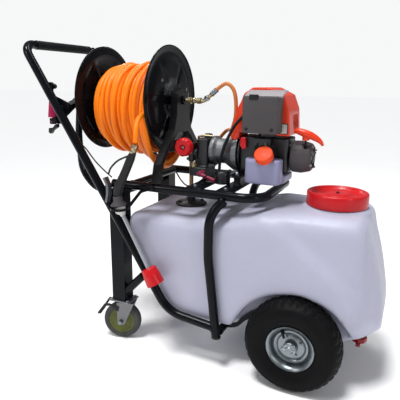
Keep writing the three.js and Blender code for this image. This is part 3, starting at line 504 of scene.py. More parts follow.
def bolt(name, centre, direction, material, across=11.0, height=6.0, washer=True):
    """A hexagon head with a chamfer, on a washer. centre is on the seat."""
    direction = Vector(direction).normalized()
    first, second = frame_of(direction)
    axes = (direction, first, second)
    parts = []
    base = 0.0
    if washer:
        base = 1.2
        parts.append(lathe(name + "_w", centre, axes, [
            (0, 0), (across * 0.62, 0), (across * 0.62, base), (0, base)], material, 24))
    half = across / 2
    parts.append(lathe(name + "_h", centre, axes, [
        (0, base), (half * 1.1, base), (half * 1.1, base + height * 0.8), (half * 0.85, base + height),
        (0, base + height)], material, 6, sharp=20.0))
    return parts


def in_place(name, obj, body, *nodes, slot=None):
    """The piece rides on a body, and stands for CAD nodes."""
    obj.name = name
    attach(obj, body)
    if nodes:
        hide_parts(*nodes)
    return obj


# ------------------------------------------------------------------ camera and light
CAMERA_PLACE = (227.3, -1235.7, 782.6)
CAMERA_AZIMUTH, CAMERA_PITCH, CAMERA_ROLL = 24.9, 14.3, 0.6
CAMERA_LENS = 41.3
FILL_STRENGTH = 0.26
FILL_COLOUR = (0.95, 0.97, 1.0, 1.0)
BACKDROP_COLOUR = (0.93, 0.935, 0.94, 1.0)
SUN = {"towards": (-0.3, -0.55, 1.9), "strength": 2.6, "softness": 14.0}
# name, place, target, size of the panel in metres, power in watts
PANELS = (
    ("key", (-1.4, -1.9, 1.9), (0.0, 0.0, 0.5), (0.3, 0.9), 14.0),
    ("top", (0.1, 0.3, 2.3), (0.1, 0.0, 0.3), (0.9, 0.4), 14.0),
    ("side", (2.1, -1.1, 1.2), (0.1, 0.0, 0.4), (0.25, 1.0), 8.0),
    ("rear", (-1.6, 1.6, 1.6), (0.0, 0.0, 0.5), (0.3, 1.0), 10.0),
)


def camera():
    data = bpy.data.cameras.new("camera")
    data.sensor_width = 36.0
    data.lens = CAMERA_LENS
    data.clip_start = 0.05
    obj = bpy.data.objects.new("camera", data)
    bpy.context.scene.collection.objects.link(obj)
    azimuth, pitch = math.radians(CAMERA_AZIMUTH), math.radians(CAMERA_PITCH)
    roll = math.radians(CAMERA_ROLL)
    back = Vector((math.sin(azimuth) * math.cos(pitch), -math.cos(azimuth) * math.cos(pitch),
                   math.sin(pitch)))
    right = Vector((math.cos(azimuth), math.sin(azimuth), 0.0))
    up = back.cross(right)
    side = right * math.cos(roll) + up * math.sin(roll)
    top = up * math.cos(roll) - right * math.sin(roll)
    turn = Matrix((side, top, back)).transposed().to_4x4()
    obj.matrix_world = Matrix.Translation(at(*CAMERA_PLACE)) @ turn
    bpy.context.scene.camera = obj


def light(name, place, target, size, power, colour=(1.0, 1.0, 1.0)):
    data = bpy.data.lights.new(name, "AREA")
    data.shape = "RECTANGLE"
    data.size, data.size_y = size
    data.energy = power
    data.color = colour
    obj = bpy.data.objects.new(name, data)
    bpy.context.scene.collection.objects.link(obj)
    obj.location = place
    obj.rotation_euler = (Vector(target) - Vector(place)).to_track_quat("-Z", "Y").to_euler()


def sun(name, towards, strength, softness):
    data = bpy.data.lights.new(name, "SUN")
    data.energy = strength
    data.angle = math.radians(softness)
    obj = bpy.data.objects.new(name, data)
    bpy.context.scene.collection.objects.link(obj)
    obj.rotation_euler = Vector(towards).to_track_quat("Z", "Y").to_euler()


def studio():
    world = bpy.data.worlds.new("studio")
    world.use_nodes = True
    tree = world.node_tree
    fill = tree.nodes["Background"]
    fill.inputs["Color"].default_value = FILL_COLOUR
    fill.inputs["Strength"].default_value = FILL_STRENGTH
    white = tree.nodes.new("ShaderNodeBackground")
    white.inputs["Color"].default_value = BACKDROP_COLOUR
    path = tree.nodes.new("ShaderNodeLightPath")
    either = tree.nodes.new("ShaderNodeMixShader")
    tree.links.new(path.outputs["Is Camera Ray"], either.inputs["Fac"])
    tree.links.new(fill.outputs[0], either.inputs[1])
    tree.links.new(white.outputs[0], either.inputs[2])
    tree.links.new(either.outputs[0], tree.nodes["World Output"].inputs["Surface"])
    bpy.context.scene.world = world
    bpy.context.scene.view_settings.view_transform = "Standard"
    sun("sun", **SUN)
    for panel in PANELS:
        light(*panel)
    bm = bmesh.new()
    bmesh.ops.create_grid(bm, x_segments=1, y_segments=1, size=30.0)
    n = Nodes("floor_mat")
    n.set(Base_Color=n.mix(n.noise(3.0), (0.93, 0.93, 0.93), (0.97, 0.97, 0.97)), Roughness=0.7)
    MATERIALS["floor"] = n.material
    floor = new_object("floor", bm, "floor")


# ------------------------------------------------------------------ CAD nodes kept as they are
CAD_FINISH = {
    "black_plastic": ["brake_pedal_near", "brake_pedal_far", "suction_flange"],
    "brass": ["swivel_fitting"],
    "cast_metal": ["clutch_housing", "cylinder", "gun_trigger"],
    "dark_metal": ["carburettor", "silencer", "pump_body", "crankcase"],
    "dark_pink": ["valve_lever"],
    "fork_metal": ["caster_fork_near", "caster_fork_far"],
    "fuel_plastic": ["fuel_tank"],
    "grey_plastic": ["starter_housing"],
    "grey_paint": ["reel_stand_right"],
    "orange_plastic": ["engine_shroud", "starter_grip"],
    "pink_plastic": ["crank_grip"],
    "dark_red": ["drain_plug"],
    "red_plastic": ["tank_lid", "pressure_knob", "gun_nozzle"],
    "white_plastic": ["strainer"],
    "zinc": ["rear_axle", "drive_shaft"],
}
BEVEL_NODES = ("caster_column_near", "caster_column_far", "axle_cradle", "reel_stand_right",
               "reel_stand_left", "crank_arm", "engine_mount", "caster_fork_near",
               "caster_fork_far")
SOFT_NODES = {
    "engine_shroud": (0.0022, 10), "fuel_tank": (0.0022, 30),
    "crankcase": (0.0024, 6), "pump_body": (0.0022, 5), "gun_body": (0.0016, 6),
    "starter_housing": (0.002, 6), "starter_grip": (0.0016, 8), "clutch_housing": (0.002, 5),
    "crank_grip": (0.0014, 5), "brake_pedal_near": (0.0012, 4), "brake_pedal_far": (0.0012, 4),
    "carburettor": (0.0016, 4), "silencer": (0.002, 6), "gun_trigger": (0.0012, 4),
    "valve_lever": (0.0012, 4), "drain_plug": (0.0014, 4),
}


def dress_cad_nodes():
    for material, names in CAD_FINISH.items():
        for name in names:
            set_material(name, material)
    for name, node in NODES.items():
        slot_name = RECORD_SLOT[name]
        if not node.get("dressed"):
            set_material(name, slot_name)
        if name in SOFT_NODES:
            voxel, rounds = SOFT_NODES[name]
            softened(node, voxel, rounds)
        else:
            smooth_by_angle(node, 38.0)


def set_material(name, material):
    node = NODES[name]
    node.data.materials.clear()
    node.data.materials.append(MATERIALS[material])
    node["dressed"] = True


RECORD_SLOT = {p["node"]: p["material_slot"] for p in frame["record"]["subparts"]}

camera()
studio()
dress_cad_nodes()


# ------------------------------------------------------------------ hose on the reel

TAIL = {"bend": 66.0, "lean": 1.25, "points": 21, "step": 6.2, "aside": 16.2, "ease": 100,
        "foot": (-441.4, -203, 628), "diameter": 0.0144}


def gun_hose():
    """The free end of the hose: up out of the gun, then slanting in to the pack."""
    bend, lean = TAIL["bend"], TAIL["lean"]
    x, y, z = TAIL["foot"]
    points = []
    for i in range(TAIL["points"]):
        run = i * TAIL["step"]
        turn = min(run / bend, lean)
        rest = max(run - bend * lean, 0.0)
        across = bend * (1 - math.cos(turn)) + rest * math.sin(lean)
        rise = bend * math.sin(turn) + rest * math.cos(lean)
        ease = min(run / TAIL["ease"], 1.0)
        aside = TAIL["aside"] * ease * ease * (3 - 2 * ease)
        points.append(at(x - aside, y + across, z + rise))
    points.reverse()
    curve = bpy.data.curves.new("hose_tail", "CURVE")
    curve.dimensions = "3D"
    curve.bevel_depth = TAIL["diameter"] / 2
    curve.bevel_resolution = 6
    line = curve.splines.new("POLY")
    line.points.add(len(points) - 1)
    for target, point in zip(line.points, points):
        target.co = (*point, 1.0)
    curve.use_fill_caps = True
    curve.materials.append(MATERIALS["orange_hose"])
    obj = bpy.data.objects.new("hose_tail", curve)
    bpy.context.scene.collection.objects.link(obj)
    in_place("hose_tail", obj, "frame", "gun_hose", slot="orange_hose")


gun_hose()


# ------------------------------------------------------------------ shared shapes
SIDES = (("near", -1), ("far", 1))
TUBE = 12.5


def tube(name, corners, bends, radius, material, sides=24, steps=8):
    """A bent tube through cart points; radii in millimetres."""
    bends = [b * MM for b in bends] if isinstance(bends, (list, tuple)) else bends * MM
    return swept(name, bent([at(*c) for c in corners], bends, steps), radius * MM, material, sides)


def flexible(name, points, radius, material, count=40, sides=14):
    return swept(name, spline([at(*p) for p in points], count), radius * MM, material, sides)


def bead(name, place, direction, radius, material="black_paint", width=4.5):
    """A ripply weld bead round a tube."""
    direction = Vector(direction).normalized()
    profile = [(radius - 2, -width), (radius + 1.2, -0.6 * width), (radius + 2.0, 0.0),
               (radius + 1.2, 0.6 * width), (radius - 2, width)]
    ripple = lambda angle, i: (0.45 * math.sin(angle * 13), 0.6 * math.sin(angle * 9))
    return lathe(name, at(*place), (direction, *frame_of(direction)), profile, material, 40, ripple)


def aimed(direction):
    direction = Vector(direction).normalized()
    return (direction, *frame_of(direction))


def shell_profile(middle, thickness):
    """A closed profile of even thickness round a line of (radius, place) points."""
    half = thickness / 2
    front, back = [], []
    for i, (radius, place) in enumerate(middle):
        before = middle[max(i - 1, 0)]
        after = middle[min(i + 1, len(middle) - 1)]
        run = Vector((after[0] - before[0], after[1] - before[1])).normalized()
        front.append((radius - run.y * half, place + run.x * half))
        back.append((radius + run.y * half, place - run.x * half))
    return front + back[::-1]


# ------------------------------------------------------------------ frame
def side_tubes():
    for name, side in SIDES:
        y = 177 * side
        parts = [tube("t", [(-840, 117 * side, 889), (-840, y, 889), (-363, y, 141),
                            (-219, y, 125.5)], [40, 95], TUBE, "black_paint", 28, 10)]
        parts.append(bead("b", (-222, y, 125.8), (1, 0, -0.1), TUBE))
        parts.append(bead("b", (-722, 166 * side, 706), (0, 1, 0), 8, width=3))
        if side < 0:
            parts.append(block("c", (-771, -165.5, 753), (-753, -155.5, 781), "black_paint", 0.003))
            parts += bolt("c", at(-762, -155.6, 767), (0, 1, 0), "zinc", 6, 3)
            parts.append(tube("c", [(-762, -160, 767), (-762, -142, 767)], 1, 3, "zinc", 16))
        in_place(f"side_tube_{name}_steel", joined("s", parts), "frame", f"side_tube_{name}",
                 slot="black_paint")


def hoops():
    for name, side in SIDES:
        y = 177 * side
        parts = [tube("t", [(-211, y, 97), (-239, y, 330), (-238, y, 452),
                            (-206, 151 * side, 484)], [400, 90], TUBE, "black_paint", 28, 12)]
        parts.append(bead("b", (-213, y - side * 0.2, 118), (-0.1, 0, 1), TUBE))
        parts.append(bead("b", (-211, 155 * side, 479), (0.62, -0.5 * side, 0.6), TUBE, width=6))
        parts.append(lathe("e", at(-211, y, 97), "z", [(0, -2), (TUBE, -2), (TUBE + 0.6, -1),
                                                       (TUBE + 0.6, 3), (0, 3)], "black_plastic", 28))
        in_place(f"hoop_{name}_steel", joined("h", parts), "frame", f"hoop_{name}",
                 slot="black_paint")


def deck():
    corners = [(-560, -145, 495), (-108, -145, 495), (-108, 145, 495), (-560, 145, 495)]
    parts = [tube("r", corners, 60, TUBE, "black_paint", 28, 12)]
    parts.append(tube("f", [(-503, -145, 495), (-503, 145, 495)], 1, 10, "black_paint", 24))
    for side in (-1, 1):
        parts.append(bead("b", (-503, 131 * side, 495), (0, 1, 0), 10, width=4))
    for low, high in ((-325, -277), (-235, -187)):
        bar = block("b", (low, -149, 501.5), (high, 149, 507.5), "black_paint", 0.0015)
        parts.append(bar)
        for y in (-128, 128):
            parts += bolt("d", at((low + high) / 2, y, 507.5), (0, 0, 1), "zinc", 10, 5)
    ring = [(18.5, -3), (25, -3), (25.6, 0), (25, 3), (18.5, 3), (17.9, 0)]
    parts.append(lathe("g", at(-502, -203, 438), "z", ring, "black_paint", 40))
    parts.append(tube("g", [(-424, -157, 495), (-446, -178, 488), (-480, -197, 438)], 14, 4.5,
                      "black_paint", 14))
    parts.append(block("g", (-434, -162, 488), (-414, -153, 502), "black_paint", 0.002))
    in_place("deck_steel", joined("d", parts), "frame", "deck_frame", slot="black_paint")


def handle():
    bar = tube("b", [(-840, -116.7, 889), (-840, 116.7, 889)], 1, TUBE, "black_paint", 28)
    in_place("handle_bar_steel", bar, "frame", "handle_bar", slot="black_paint")
    profile = [(12.8, -126), (13.3, -126), (13.6, -125), (13.6, -120), (13.2, -119)]
    for k in range(40):
        y = -117 + k * 6
        if y > 116:
            break
        profile += [(13.1, y), (13.4, y + 1.5), (13.4, y + 4), (13.1, y + 5.5)]
    profile += [(13.2, 119), (13.6, 120), (13.6, 125), (13.3, 126), (12.8, 126)]
    sleeve = lathe("s", at(-840, 0, 889), "y", profile, "black_rubber", 40, sharp=60)
    in_place("handle_sleeve", sleeve, "frame", "handle_grip", slot="black_rubber")

    thumb = prism("t", [(-770, 768), (-767, 776), (-759, 779), (-748, 775), (-744, 768), (-749, 762),
                        (-763, 760)], -157, -148.5, "y", "black_plastic", 0.003, 4)
    in_place("throttle_thumb", thumb, "throttle_lever", "throttle_lever",
             slot=RECORD_SLOT["throttle_lever"])

    lug = prism("k", [(-788, 655), (-797, 651), (-806, 642), (-822, 640), (-824, 627), (-816, 622),
                      (-806, 634), (-788, 644)], -116, -102, "y", "black_plastic", 0.002, 3)
    in_place("crank_lug", lug, "reel", slot="black_paint")


# ------------------------------------------------------------------ tank
TANK_STATIONS = [
    (-517, 356, 396, 128, 16, 16), (-511, 338, 405, 142, 26, 20), (-496, 318, 412, 149, 32, 24),
    (-480, 300, 416, 152, 36, 24), (-455, 264, 420, 155, 40, 28), (-420, 208, 421, 159, 43, 28),
    (-382, 152, 421, 161, 45, 26),
    (-352, 132, 421, 162, 46, 24), (-318, 125, 421.2, 162, 46, 24),
    (-205, 123.5, 440, 162, 46, 24), (-100, 123.5, 460, 162, 46, 24),
    (40, 121, 464, 162, 46, 24), (90, 120, 464, 162, 46, 60), (132, 119, 462, 156, 46, 120),
    (150, 121, 448, 146, 46, 116), (160, 123, 408, 136, 50, 112), (172, 128, 374, 122, 52, 106),
    (184, 136, 334, 110, 50, 100), (194, 146, 288, 100, 44, 90), (201, 156, 250, 90, 34, 56),
    (205, 170, 218, 76, 20, 24),
]
RIDGE = [(-150, 420), (-76, 414), (-49, 400), (-23, 381), (4, 360), (30, 342), (56, 323), (81, 304),
         (104, 276), (122, 240)]
ARCH = [(-192, 100), (-176, 132), (-150, 176), (-124, 208), (-98, 228), (-62, 246), (0, 258.5),
        (36, 253), (70, 242), (103, 221), (126, 187), (136, 150), (139, 100)]


def tank_ring(x, bottom, top, half, upper, lower, per_corner=9):
    ring = []
    for sy, sz, radius, turn in ((1, 1, upper, 0), (-1, 1, upper, 1), (-1, -1, lower, 2),
                                 (1, -1, lower, 3)):
        for i in range(per_corner + 1):
            angle = (turn + i / per_corner) * math.pi / 2
            y = sy * (half - radius) + radius * math.cos(angle)
            z = (top - radius if sz > 0 else bottom + radius) + radius * math.sin(angle)
            ring.append((x, y, z))
    return ring


def side_relief(x, z):
    """How far the tank's side wall falls back behind the ridge that runs down to the rear."""
    best, side = 1e9, 0.0
    for (x0, z0), (x1, z1) in zip(RIDGE, RIDGE[1:]):
        run = Vector((x1 - x0, z1 - z0))
        t = max(0.0, min(1.0, ((x - x0) * run.x + (z - z0) * run.y) / run.length_squared))
        dx, dz = x - (x0 + run.x * t), z - (z0 + run.y * t)
        distance = math.hypot(dx, dz)
        if distance < best:
            best, side = distance, run.x * dz - run.y * dx
    if side <= 0:
        return 0.0
    rise = min(1.0, best / 40.0)
    fade = max(0.0, min(1.0, (x + 110) / 90.0)) * max(0.0, min(1.0, (z - 215) / 80.0))
    return 16.0 * rise * rise * (3 - 2 * rise) * fade


def tank():
    bm = bmesh.new()
    rings = [[bm.verts.new(at(*p)) for p in tank_ring(*s)] for s in TANK_STATIONS]
    count = len(rings[0])
    for a, b in zip(rings, rings[1:]):
        for k in range(count):
            bm.faces.new((a[k], a[(k + 1) % count], b[(k + 1) % count], b[k]))
    bm.faces.new(list(reversed(rings[0])))
    bm.faces.new(rings[-1])
    bmesh.ops.recalc_face_normals(bm, faces=bm.faces)
    body = new_object("tank_body", bm, "white_tank")
    lid_at = at(58.6, 0, 0)
    shoulder = lathe("s", lid_at, "z", [(0, 430), (96, 430), (92, 462), (84, 470.5), (0, 470.5)],
                     "white_tank", 72)
    tools = []
    for side in (-1, 1):
        low, high = (-200, -108) if side < 0 else (108, 200)
        arch = [(p.x, p.y) for p in spline([Vector((x, z, 0)) for x, z in ARCH], 40)]
        tools.append(prism("a", arch, low, high, "y", "white_tank", 0.0))
    tools.append(block("t", (-24, -200, 90), (24, 200, 144), "white_tank", 0.0))
    for x, y, low, high, radius in ((152, -30, 90, 132, 13.5), (-376, 0, 412, 440, 11.5)):
        tools.append(lathe("h", at(x, y, 0), "z", [(0, low), (radius, low), (radius, high),
                                                   (0, high)], "white_tank", 24))
    for operation, tool in [("UNION", shoulder)] + [("DIFFERENCE", t) for t in tools]:
        modifier = body.modifiers.new("cut", "BOOLEAN")
        modifier.operation = operation
        modifier.solver = "EXACT"
        modifier.object = tool
    applied(body)
    for tool in (shoulder, *tools):
        bpy.data.objects.remove(tool)
    softened(body, 0.0042, 14, 0.6)
    applied(body)
    for v in body.data.vertices:
        x, y, z = v.co / MM - SHIFT
        wall = min(1.0, abs(y) / 120.0)
        push = side_relief(x, z) * wall * wall
        v.co.y -= math.copysign(push, y) * MM
    relax = body.modifiers.new("relax", "SMOOTH")
    relax.iterations = 4
    applied(body)
    for polygon in body.data.polygons:
        polygon.use_smooth = True
    neck = lathe("n", lid_at, "z", [
        (62, 462), (70, 462), (70, 473), (71.2, 474), (71.2, 476), (70, 477), (70, 481),
        (71.2, 482), (71.2, 484), (70, 485), (70, 491), (69, 492), (62, 492)], "white_tank", 72)
    in_place("tank_skin", joined("tank_skin", [body, neck]), "frame", "tank",
             slot="white_tank")


def lid_and_ports():
    flute = lambda angle, i: (-0.8 * max(0.0, math.sin(angle * 40)) if i in (8, 9, 10) else 0.0, 0.0)
    lid = lathe("l", at(58.6, 0, 471), "z", [
        (0, 29.4), (30, 29.4), (32, 29), (33.5, 27.2), (62, 26.6), (66, 28), (69, 33.5), (71, 35.6),
        (76, 36), (79.4, 34.4), (80.4, 31), (80.6, 3), (80.0, 0.4), (74, 0), (73.4, 24), (0, 24)],
        "red_plastic", 120, flute, sharp=50)
    disc = lathe("d", at(58.6, 0, 500.6), "z", [(0, 1.4), (27, 1.4), (29, 0.6), (29.4, -0.6),
                                                (0, -0.6)], "red_plastic", 64)
    vent = lathe("v", at(58.6, 0, 502), "z", [(0, 4), (3, 4), (3.8, 3), (4, -0.4), (0, -0.4)],
                 "black_plastic", 24)
    in_place("tank_lid_cap", joined("l", [lid, disc, vent]), "tank_lid", "tank_lid",
             slot="red_plastic")
    flange = [lathe("f", at(-376, 0, 421), "z", [
        (7.3, 0.6), (48, 0.6), (48.6, 2), (48, 4), (44, 6.6), (20, 8.4), (14, 12), (13, 20),
        (13, 44), (11, 46), (7.3, 46)], "black_plastic", 56)]
    for k in range(4):
        angle = math.pi / 4 + k * math.pi / 2
        seat = at(-376 + 36 * math.cos(angle), 36 * math.sin(angle), 428)
        flange += bolt("b", seat, (0, 0, 1), "black_plastic", 8, 4)
    flange.append(lathe("n", at(-376, 0, 452), "z", [(12.5, 0), (16, 0), (16.6, 1), (16.6, 11),
                                                     (16, 12), (12.5, 12)], "black_plastic", 6,
                        sharp=20))
    in_place("suction_fitting", joined("f", flange), "frame", "suction_flange",
             slot="black_plastic")
    profile = [(0, 176)]
    z = 176.0
    while z < 582:
        profile += [(6.0, z + 0.8), (6.8, z + 2.0), (6.8, z + 3.2), (6.0, z + 4.4)]
        z += 5.0
    profile += [(6.0, 584), (0, 584)]
    pipe = lathe("p", at(-376, 0, 0), "z", profile, "clear_hose", 20, sharp=70)
    in_place("suction_pipe", pipe, "frame", "suction_hose", slot="clear_hose")


# ------------------------------------------------------------------ wheels
def tread(angle, i, first, last):
    """Block pattern over the crown: slanted grooves that turn back at the middle."""
    if not first <= i <= last:
        return (0.0, 0.0)
    slant = abs(i - (first + last) / 2) * 0.55
    groove = math.sin(angle * 34 + slant)
    return (-2.6 if groove > 0.45 else 0.0, 0.0)


def rear_wheels():
    side_points = [(63, 25), (64.5, 31.5), (66, 33), (69, 34.5), (75, 38.4), (80, 40.3), (81.5, 40.0),
                   (83, 41.0), (92, 41.5), (103, 40.6), (109, 38.6), (110.5, 38.9), (112, 37.9),
                   (117, 33), (121.5, 27.5), (124.6, 21), (126.2, 13.5), (126.9, 12.8)]
    crown = [(125.0, 11.8), (125.0, 9.4), (127.4, 8.4), (127.5, 0)]
    outer = side_points + crown
    profile = outer + [(r, -y) for r, y in reversed(outer[:-1])]
    profile += [(63, -15), (100, -30), (113, -18), (114, 0), (113, 18), (100, 30), (63, 15)]
    first, last = 14, 2 * len(outer) - 2 - 14
    for name, side in SIDES:
        centre = at(0, 165 * side, 127.5)
        tyre = lathe("t", centre, "y", profile, "tyre_rubber", 238,
                     lambda a, i: tread(a, i, first, last), sharp=32)
        in_place(f"rear_tyre_{name}_rubber", tyre, f"rear_wheel_{name}", f"rear_tyre_{name}",
                 slot="tyre_rubber")
        rim = [(11, 34), (16.5, 34), (18, 32.5), (18.4, 14.5), (23, 12.6), (30, 12.2), (35, 14.0),
               (37.5, 17.4), (40, 19.0), (45, 18.0), (47.5, 13.0), (50.5, 11.2), (53.0, 13.4),
               (54.6, 22.5), (56.5, 27.0), (60.5, 29.6), (62.4, 31.2), (62.4, 33.0), (60.8, 33.8),
               (58.8, 32.6)]
        back = [(56.0, 30.5), (53.2, 26.5), (51.0, 22.0), (50, 13), (47.5, 8), (40, 10.5), (33, 9.0),
                (19, 8.0), (18.4, -33), (11, -34)]
        face = lathe("r", centre, "y", [(r, side * y) for r, y in rim + back], "zinc", 96, sharp=30)
        barrel = lathe("b", centre, "y", [(r, side * y) for r, y in shell_profile(
            [(53.5, 23), (52.5, 5), (52.5, -18), (55, -24), (61, -30), (62.5, -33)], 2.0)],
            "zinc", 72)
        parts = [face, barrel]
        out = Vector((0, side, 0))
        for k in range(4):
            angle = 0.5 + k * math.pi / 2
            seat = centre + Vector((26.5 * math.cos(angle), side * 12.3, 26.5 * math.sin(angle))) * MM
            parts += bolt("n", seat, out, "zinc", 6, 3)
        angle = math.radians(122)
        reach = lambda r, y: centre + Vector((r * math.cos(angle), side * y, r * math.sin(angle))) * MM
        stem = swept("v", [reach(51, 12), reach(47, 20), reach(36, 26), reach(30, 28)],
                     [0.0042, 0.0042, 0.0034, 0.0034], "black_rubber", 16)
        parts.append(stem)
        in_place(f"rear_rim_{name}_steel", joined("r", parts), f"rear_wheel_{name}",
                 f"rear_rim_{name}", slot="zinc")
    axle = [tube("a", [(0, -200, 127.5), (0, 200, 127.5)], 1, 10, "zinc", 28)]
    for side in (-1, 1):
        end = at(0, 200 * side, 127.5)
        axle.append(lathe("w", end, "y", [(r, side * y) for r, y in (
            (10.3, 0.0), (17, 0.0), (17, 2.0), (10.3, 2.0))], "zinc", 32))
        axle.append(lathe("c", end, "y", [(r, side * y) for r, y in (
            (0, 4.0), (8.5, 4.0), (10, 2.4), (10, -1), (0, -1))], "zinc", 32))
        axle.append(tube("p", [(-14, 203 * side, 127.5), (14, 203 * side, 127.5)], 1, 1.5, "zinc",
                         10))
    in_place("axle_steel", joined("a", axle), "frame", "rear_axle", slot="zinc")


CASTERS = {"near": (-1, 16.0), "far": (1, 10.0)}


def casters():
    for name, (side, yaw) in CASTERS.items():
        turn = Matrix.Rotation(math.radians(yaw), 3, "Z")
        pivot = at(-528, 141.7 * side, 0)
        axes = (turn @ Vector((0, 1, 0)), turn @ Vector((0, 0, 1)), turn @ Vector((1, 0, 0)))
        centre = pivot + (turn @ Vector((-15, 0, 0))) * MM + Vector((0, 0, 59)) * MM
        tyre = lathe("t", centre, axes, [
            (40.3, 14), (44, 15.2), (48, 16), (53.5, 14), (57, 10.5), (58.7, 6), (59, 0),
            (58.7, -6), (57, -10.5), (53.5, -14), (48, -16), (44, -15.2), (40.3, -14)],
            "grey_rubber", 72, sharp=60)
        in_place(f"caster_tyre_{name}_rubber", tyre, f"caster_wheel_{name}", f"caster_tyre_{name}",
                 slot="grey_rubber")
        web = lambda angle, i: (0.0, (-2.2 if i < 8 else 2.2) * (math.sin(angle * 6) > 0.55)
                                if i in (4, 5, 12, 13) else 0.0)
        hub = lathe("h", centre, axes, [
            (5.3, 17.4), (10.6, 17.4), (11.6, 16), (12.4, 11), (15, 10.2), (32, 10.2), (35, 12.8),
            (39.8, 13), (39.8, -13), (35, -12.8), (32, -10.2), (15, -10.2), (12.4, -11), (11.6, -16),
            (10.6, -17.4), (5.3, -17.4)], "olive_hub", 72, web)
        in_place(f"caster_hub_{name}_moulding", hub, f"caster_wheel_{name}", f"caster_hub_{name}",
                 slot="olive_hub")
        extras = bolt("b", centre + axes[0] * 26 * MM, axes[0], "zinc", 11, 5)
        extras += bolt("b", centre - axes[0] * 26 * MM, -axes[0], "zinc", 11, 5)
        in_place(f"caster_bolts_{name}", joined("b", extras), f"caster_{name}", slot="zinc")
        plate = block("p", (-575, 141.7 * side - 29, 126.0), (-503, 141.7 * side + 29, 130.6),
                      "fork_metal", 0.0012)
        nuts = []
        for x in (-567, -511):
            for y in (-22, 22):
                nuts += bolt("n", at(x, 141.7 * side + y, 130.6), (0, 0, 1), "zinc", 8, 4)
        in_place(f"caster_plate_{name}", joined("p", [plate, *nuts]), "frame", slot="zinc")


# ------------------------------------------------------------------ hose reel
REEL_HEIGHT = 733
PACK_SAG = 28
PACK_AXIS = at(-325, 0, REEL_HEIGHT - PACK_SAG)
PACK_STOPS = [(-656, 90), (-642, 112), (-624, 125), (-602, 132), (-484, 133), (-464, 133)]
HOSE_RADIUS = 8.2
TURN_STEPS = 44
TURNS = 10.4
# place along the reel, run, lift above the layer, first angle, length in turns
CROSSING_TURNS = ((-556, -34, 6.5, 0.9, 1.3), (-486, -58, 7.5, -1.5, 1.2), (-612, 34, 5.0, 2.6, 0.9))
# where the layer below is packed tight, along the reel
TIGHT_BANDS = ((-622, -606), (-584, -548), (-512, -498))
# place along the reel, reach down, reach up, half width, material; the one loop in the darker hose
# orange is painted shade
SAGGING_LOOPS = ((-468, 162, 122, 131, "orange_hose"), (-480, 154, 126, 130, "hose_painted_shade"),
                 (-493, 146, 128, 129, "orange_hose"), (-460, 172, 118, 132, "orange_hose"))
LOOP_STEPS = 71


def pack_radius(x):
    """The outer radius of the wound hose at a place along the reel."""
    for (x0, r0), (x1, r1) in zip(PACK_STOPS, PACK_STOPS[1:]):
        if x <= x1:
            return r0 + (r1 - r0) * max(0.0, (x - x0) / (x1 - x0))
    return PACK_STOPS[-1][1]


def round_pack(x, radius, angle):
    """A point round the pack's own axis, which lies below the reel's."""
    offset = Vector((x + SHIFT.x, radius * math.cos(angle), radius * math.sin(angle)))
    return PACK_AXIS + offset * MM


def wound_hose():
    """One long wavy layer, three turns that cross it, the layer below and the low loops. The layer
    below and one loop are in a darker orange, as painted shade.
    """
    hose, steps, turns = HOSE_RADIUS, TURN_STEPS, TURNS
    centre_line = []
    for k in range(int(turns * steps) + 1):
        turn = k / steps
        angle = 2 * math.pi * turn
        x = -647 + 174 * turn / turns
        x += 3.4 * math.sin(angle + 0.9 * turn) + 1.8 * math.sin(2 * angle + 1.3)
        radius = pack_radius(x) - hose + 2.4 * math.sin(0.7 * angle + 2.1 * turn)
        radius += 1.8 * math.sin(6 * math.pi * turn / turns)
        centre_line.append(round_pack(x, radius, angle))
    parts = [swept("h", centre_line, hose * MM, "orange_hose", 14)]
    for start, run, lift, begin, length in CROSSING_TURNS:
        line = []
        for k in range(int(steps * length) + 1):
            t = k / (steps * length)
            angle = begin + 2 * math.pi * length * t
            x = start + run * (3 * t * t - 2 * t ** 3)
            rise = min(1.0, 6 * t, 6 * (1 - t))
            line.append(round_pack(x, pack_radius(x) - hose + lift * rise - 6 * (1 - rise), angle))
        parts.append(swept("h", line, hose * MM, "orange_hose", 14))
    core = [(53, -656)]
    for x in range(-652, -467, 4):
        filled = any(low < x < high for low, high in TIGHT_BANDS)
        core.append((pack_radius(x) - (3.4 if filled else 10.0), x))
    core += [(53, -467)]
    # the layer below is in the darker hose orange: painted shade between and under the turns
    parts.append(lathe("c", Vector((SHIFT.x * MM, PACK_AXIS.y, PACK_AXIS.z)), "x", core,
                       "hose_painted_shade", 64))
    for x, low, high, wide, look in SAGGING_LOOPS:
        line = []
        for k in range(LOOP_STEPS + 1):
            angle = 2 * math.pi * k / LOOP_STEPS
            height = (high - low) / 2 + (high + low) / 2 * math.sin(angle)
            spot = round_pack(x + 3 * math.sin(angle + x), 0.0, 0.0)
            line.append(spot + Vector((0, wide * math.cos(angle), height)) * MM)
        parts.append(swept("l", line, hose * MM, look, 14))
    in_place("hose_turns", joined("h", parts), "reel", "hose_pack", slot="orange_hose")


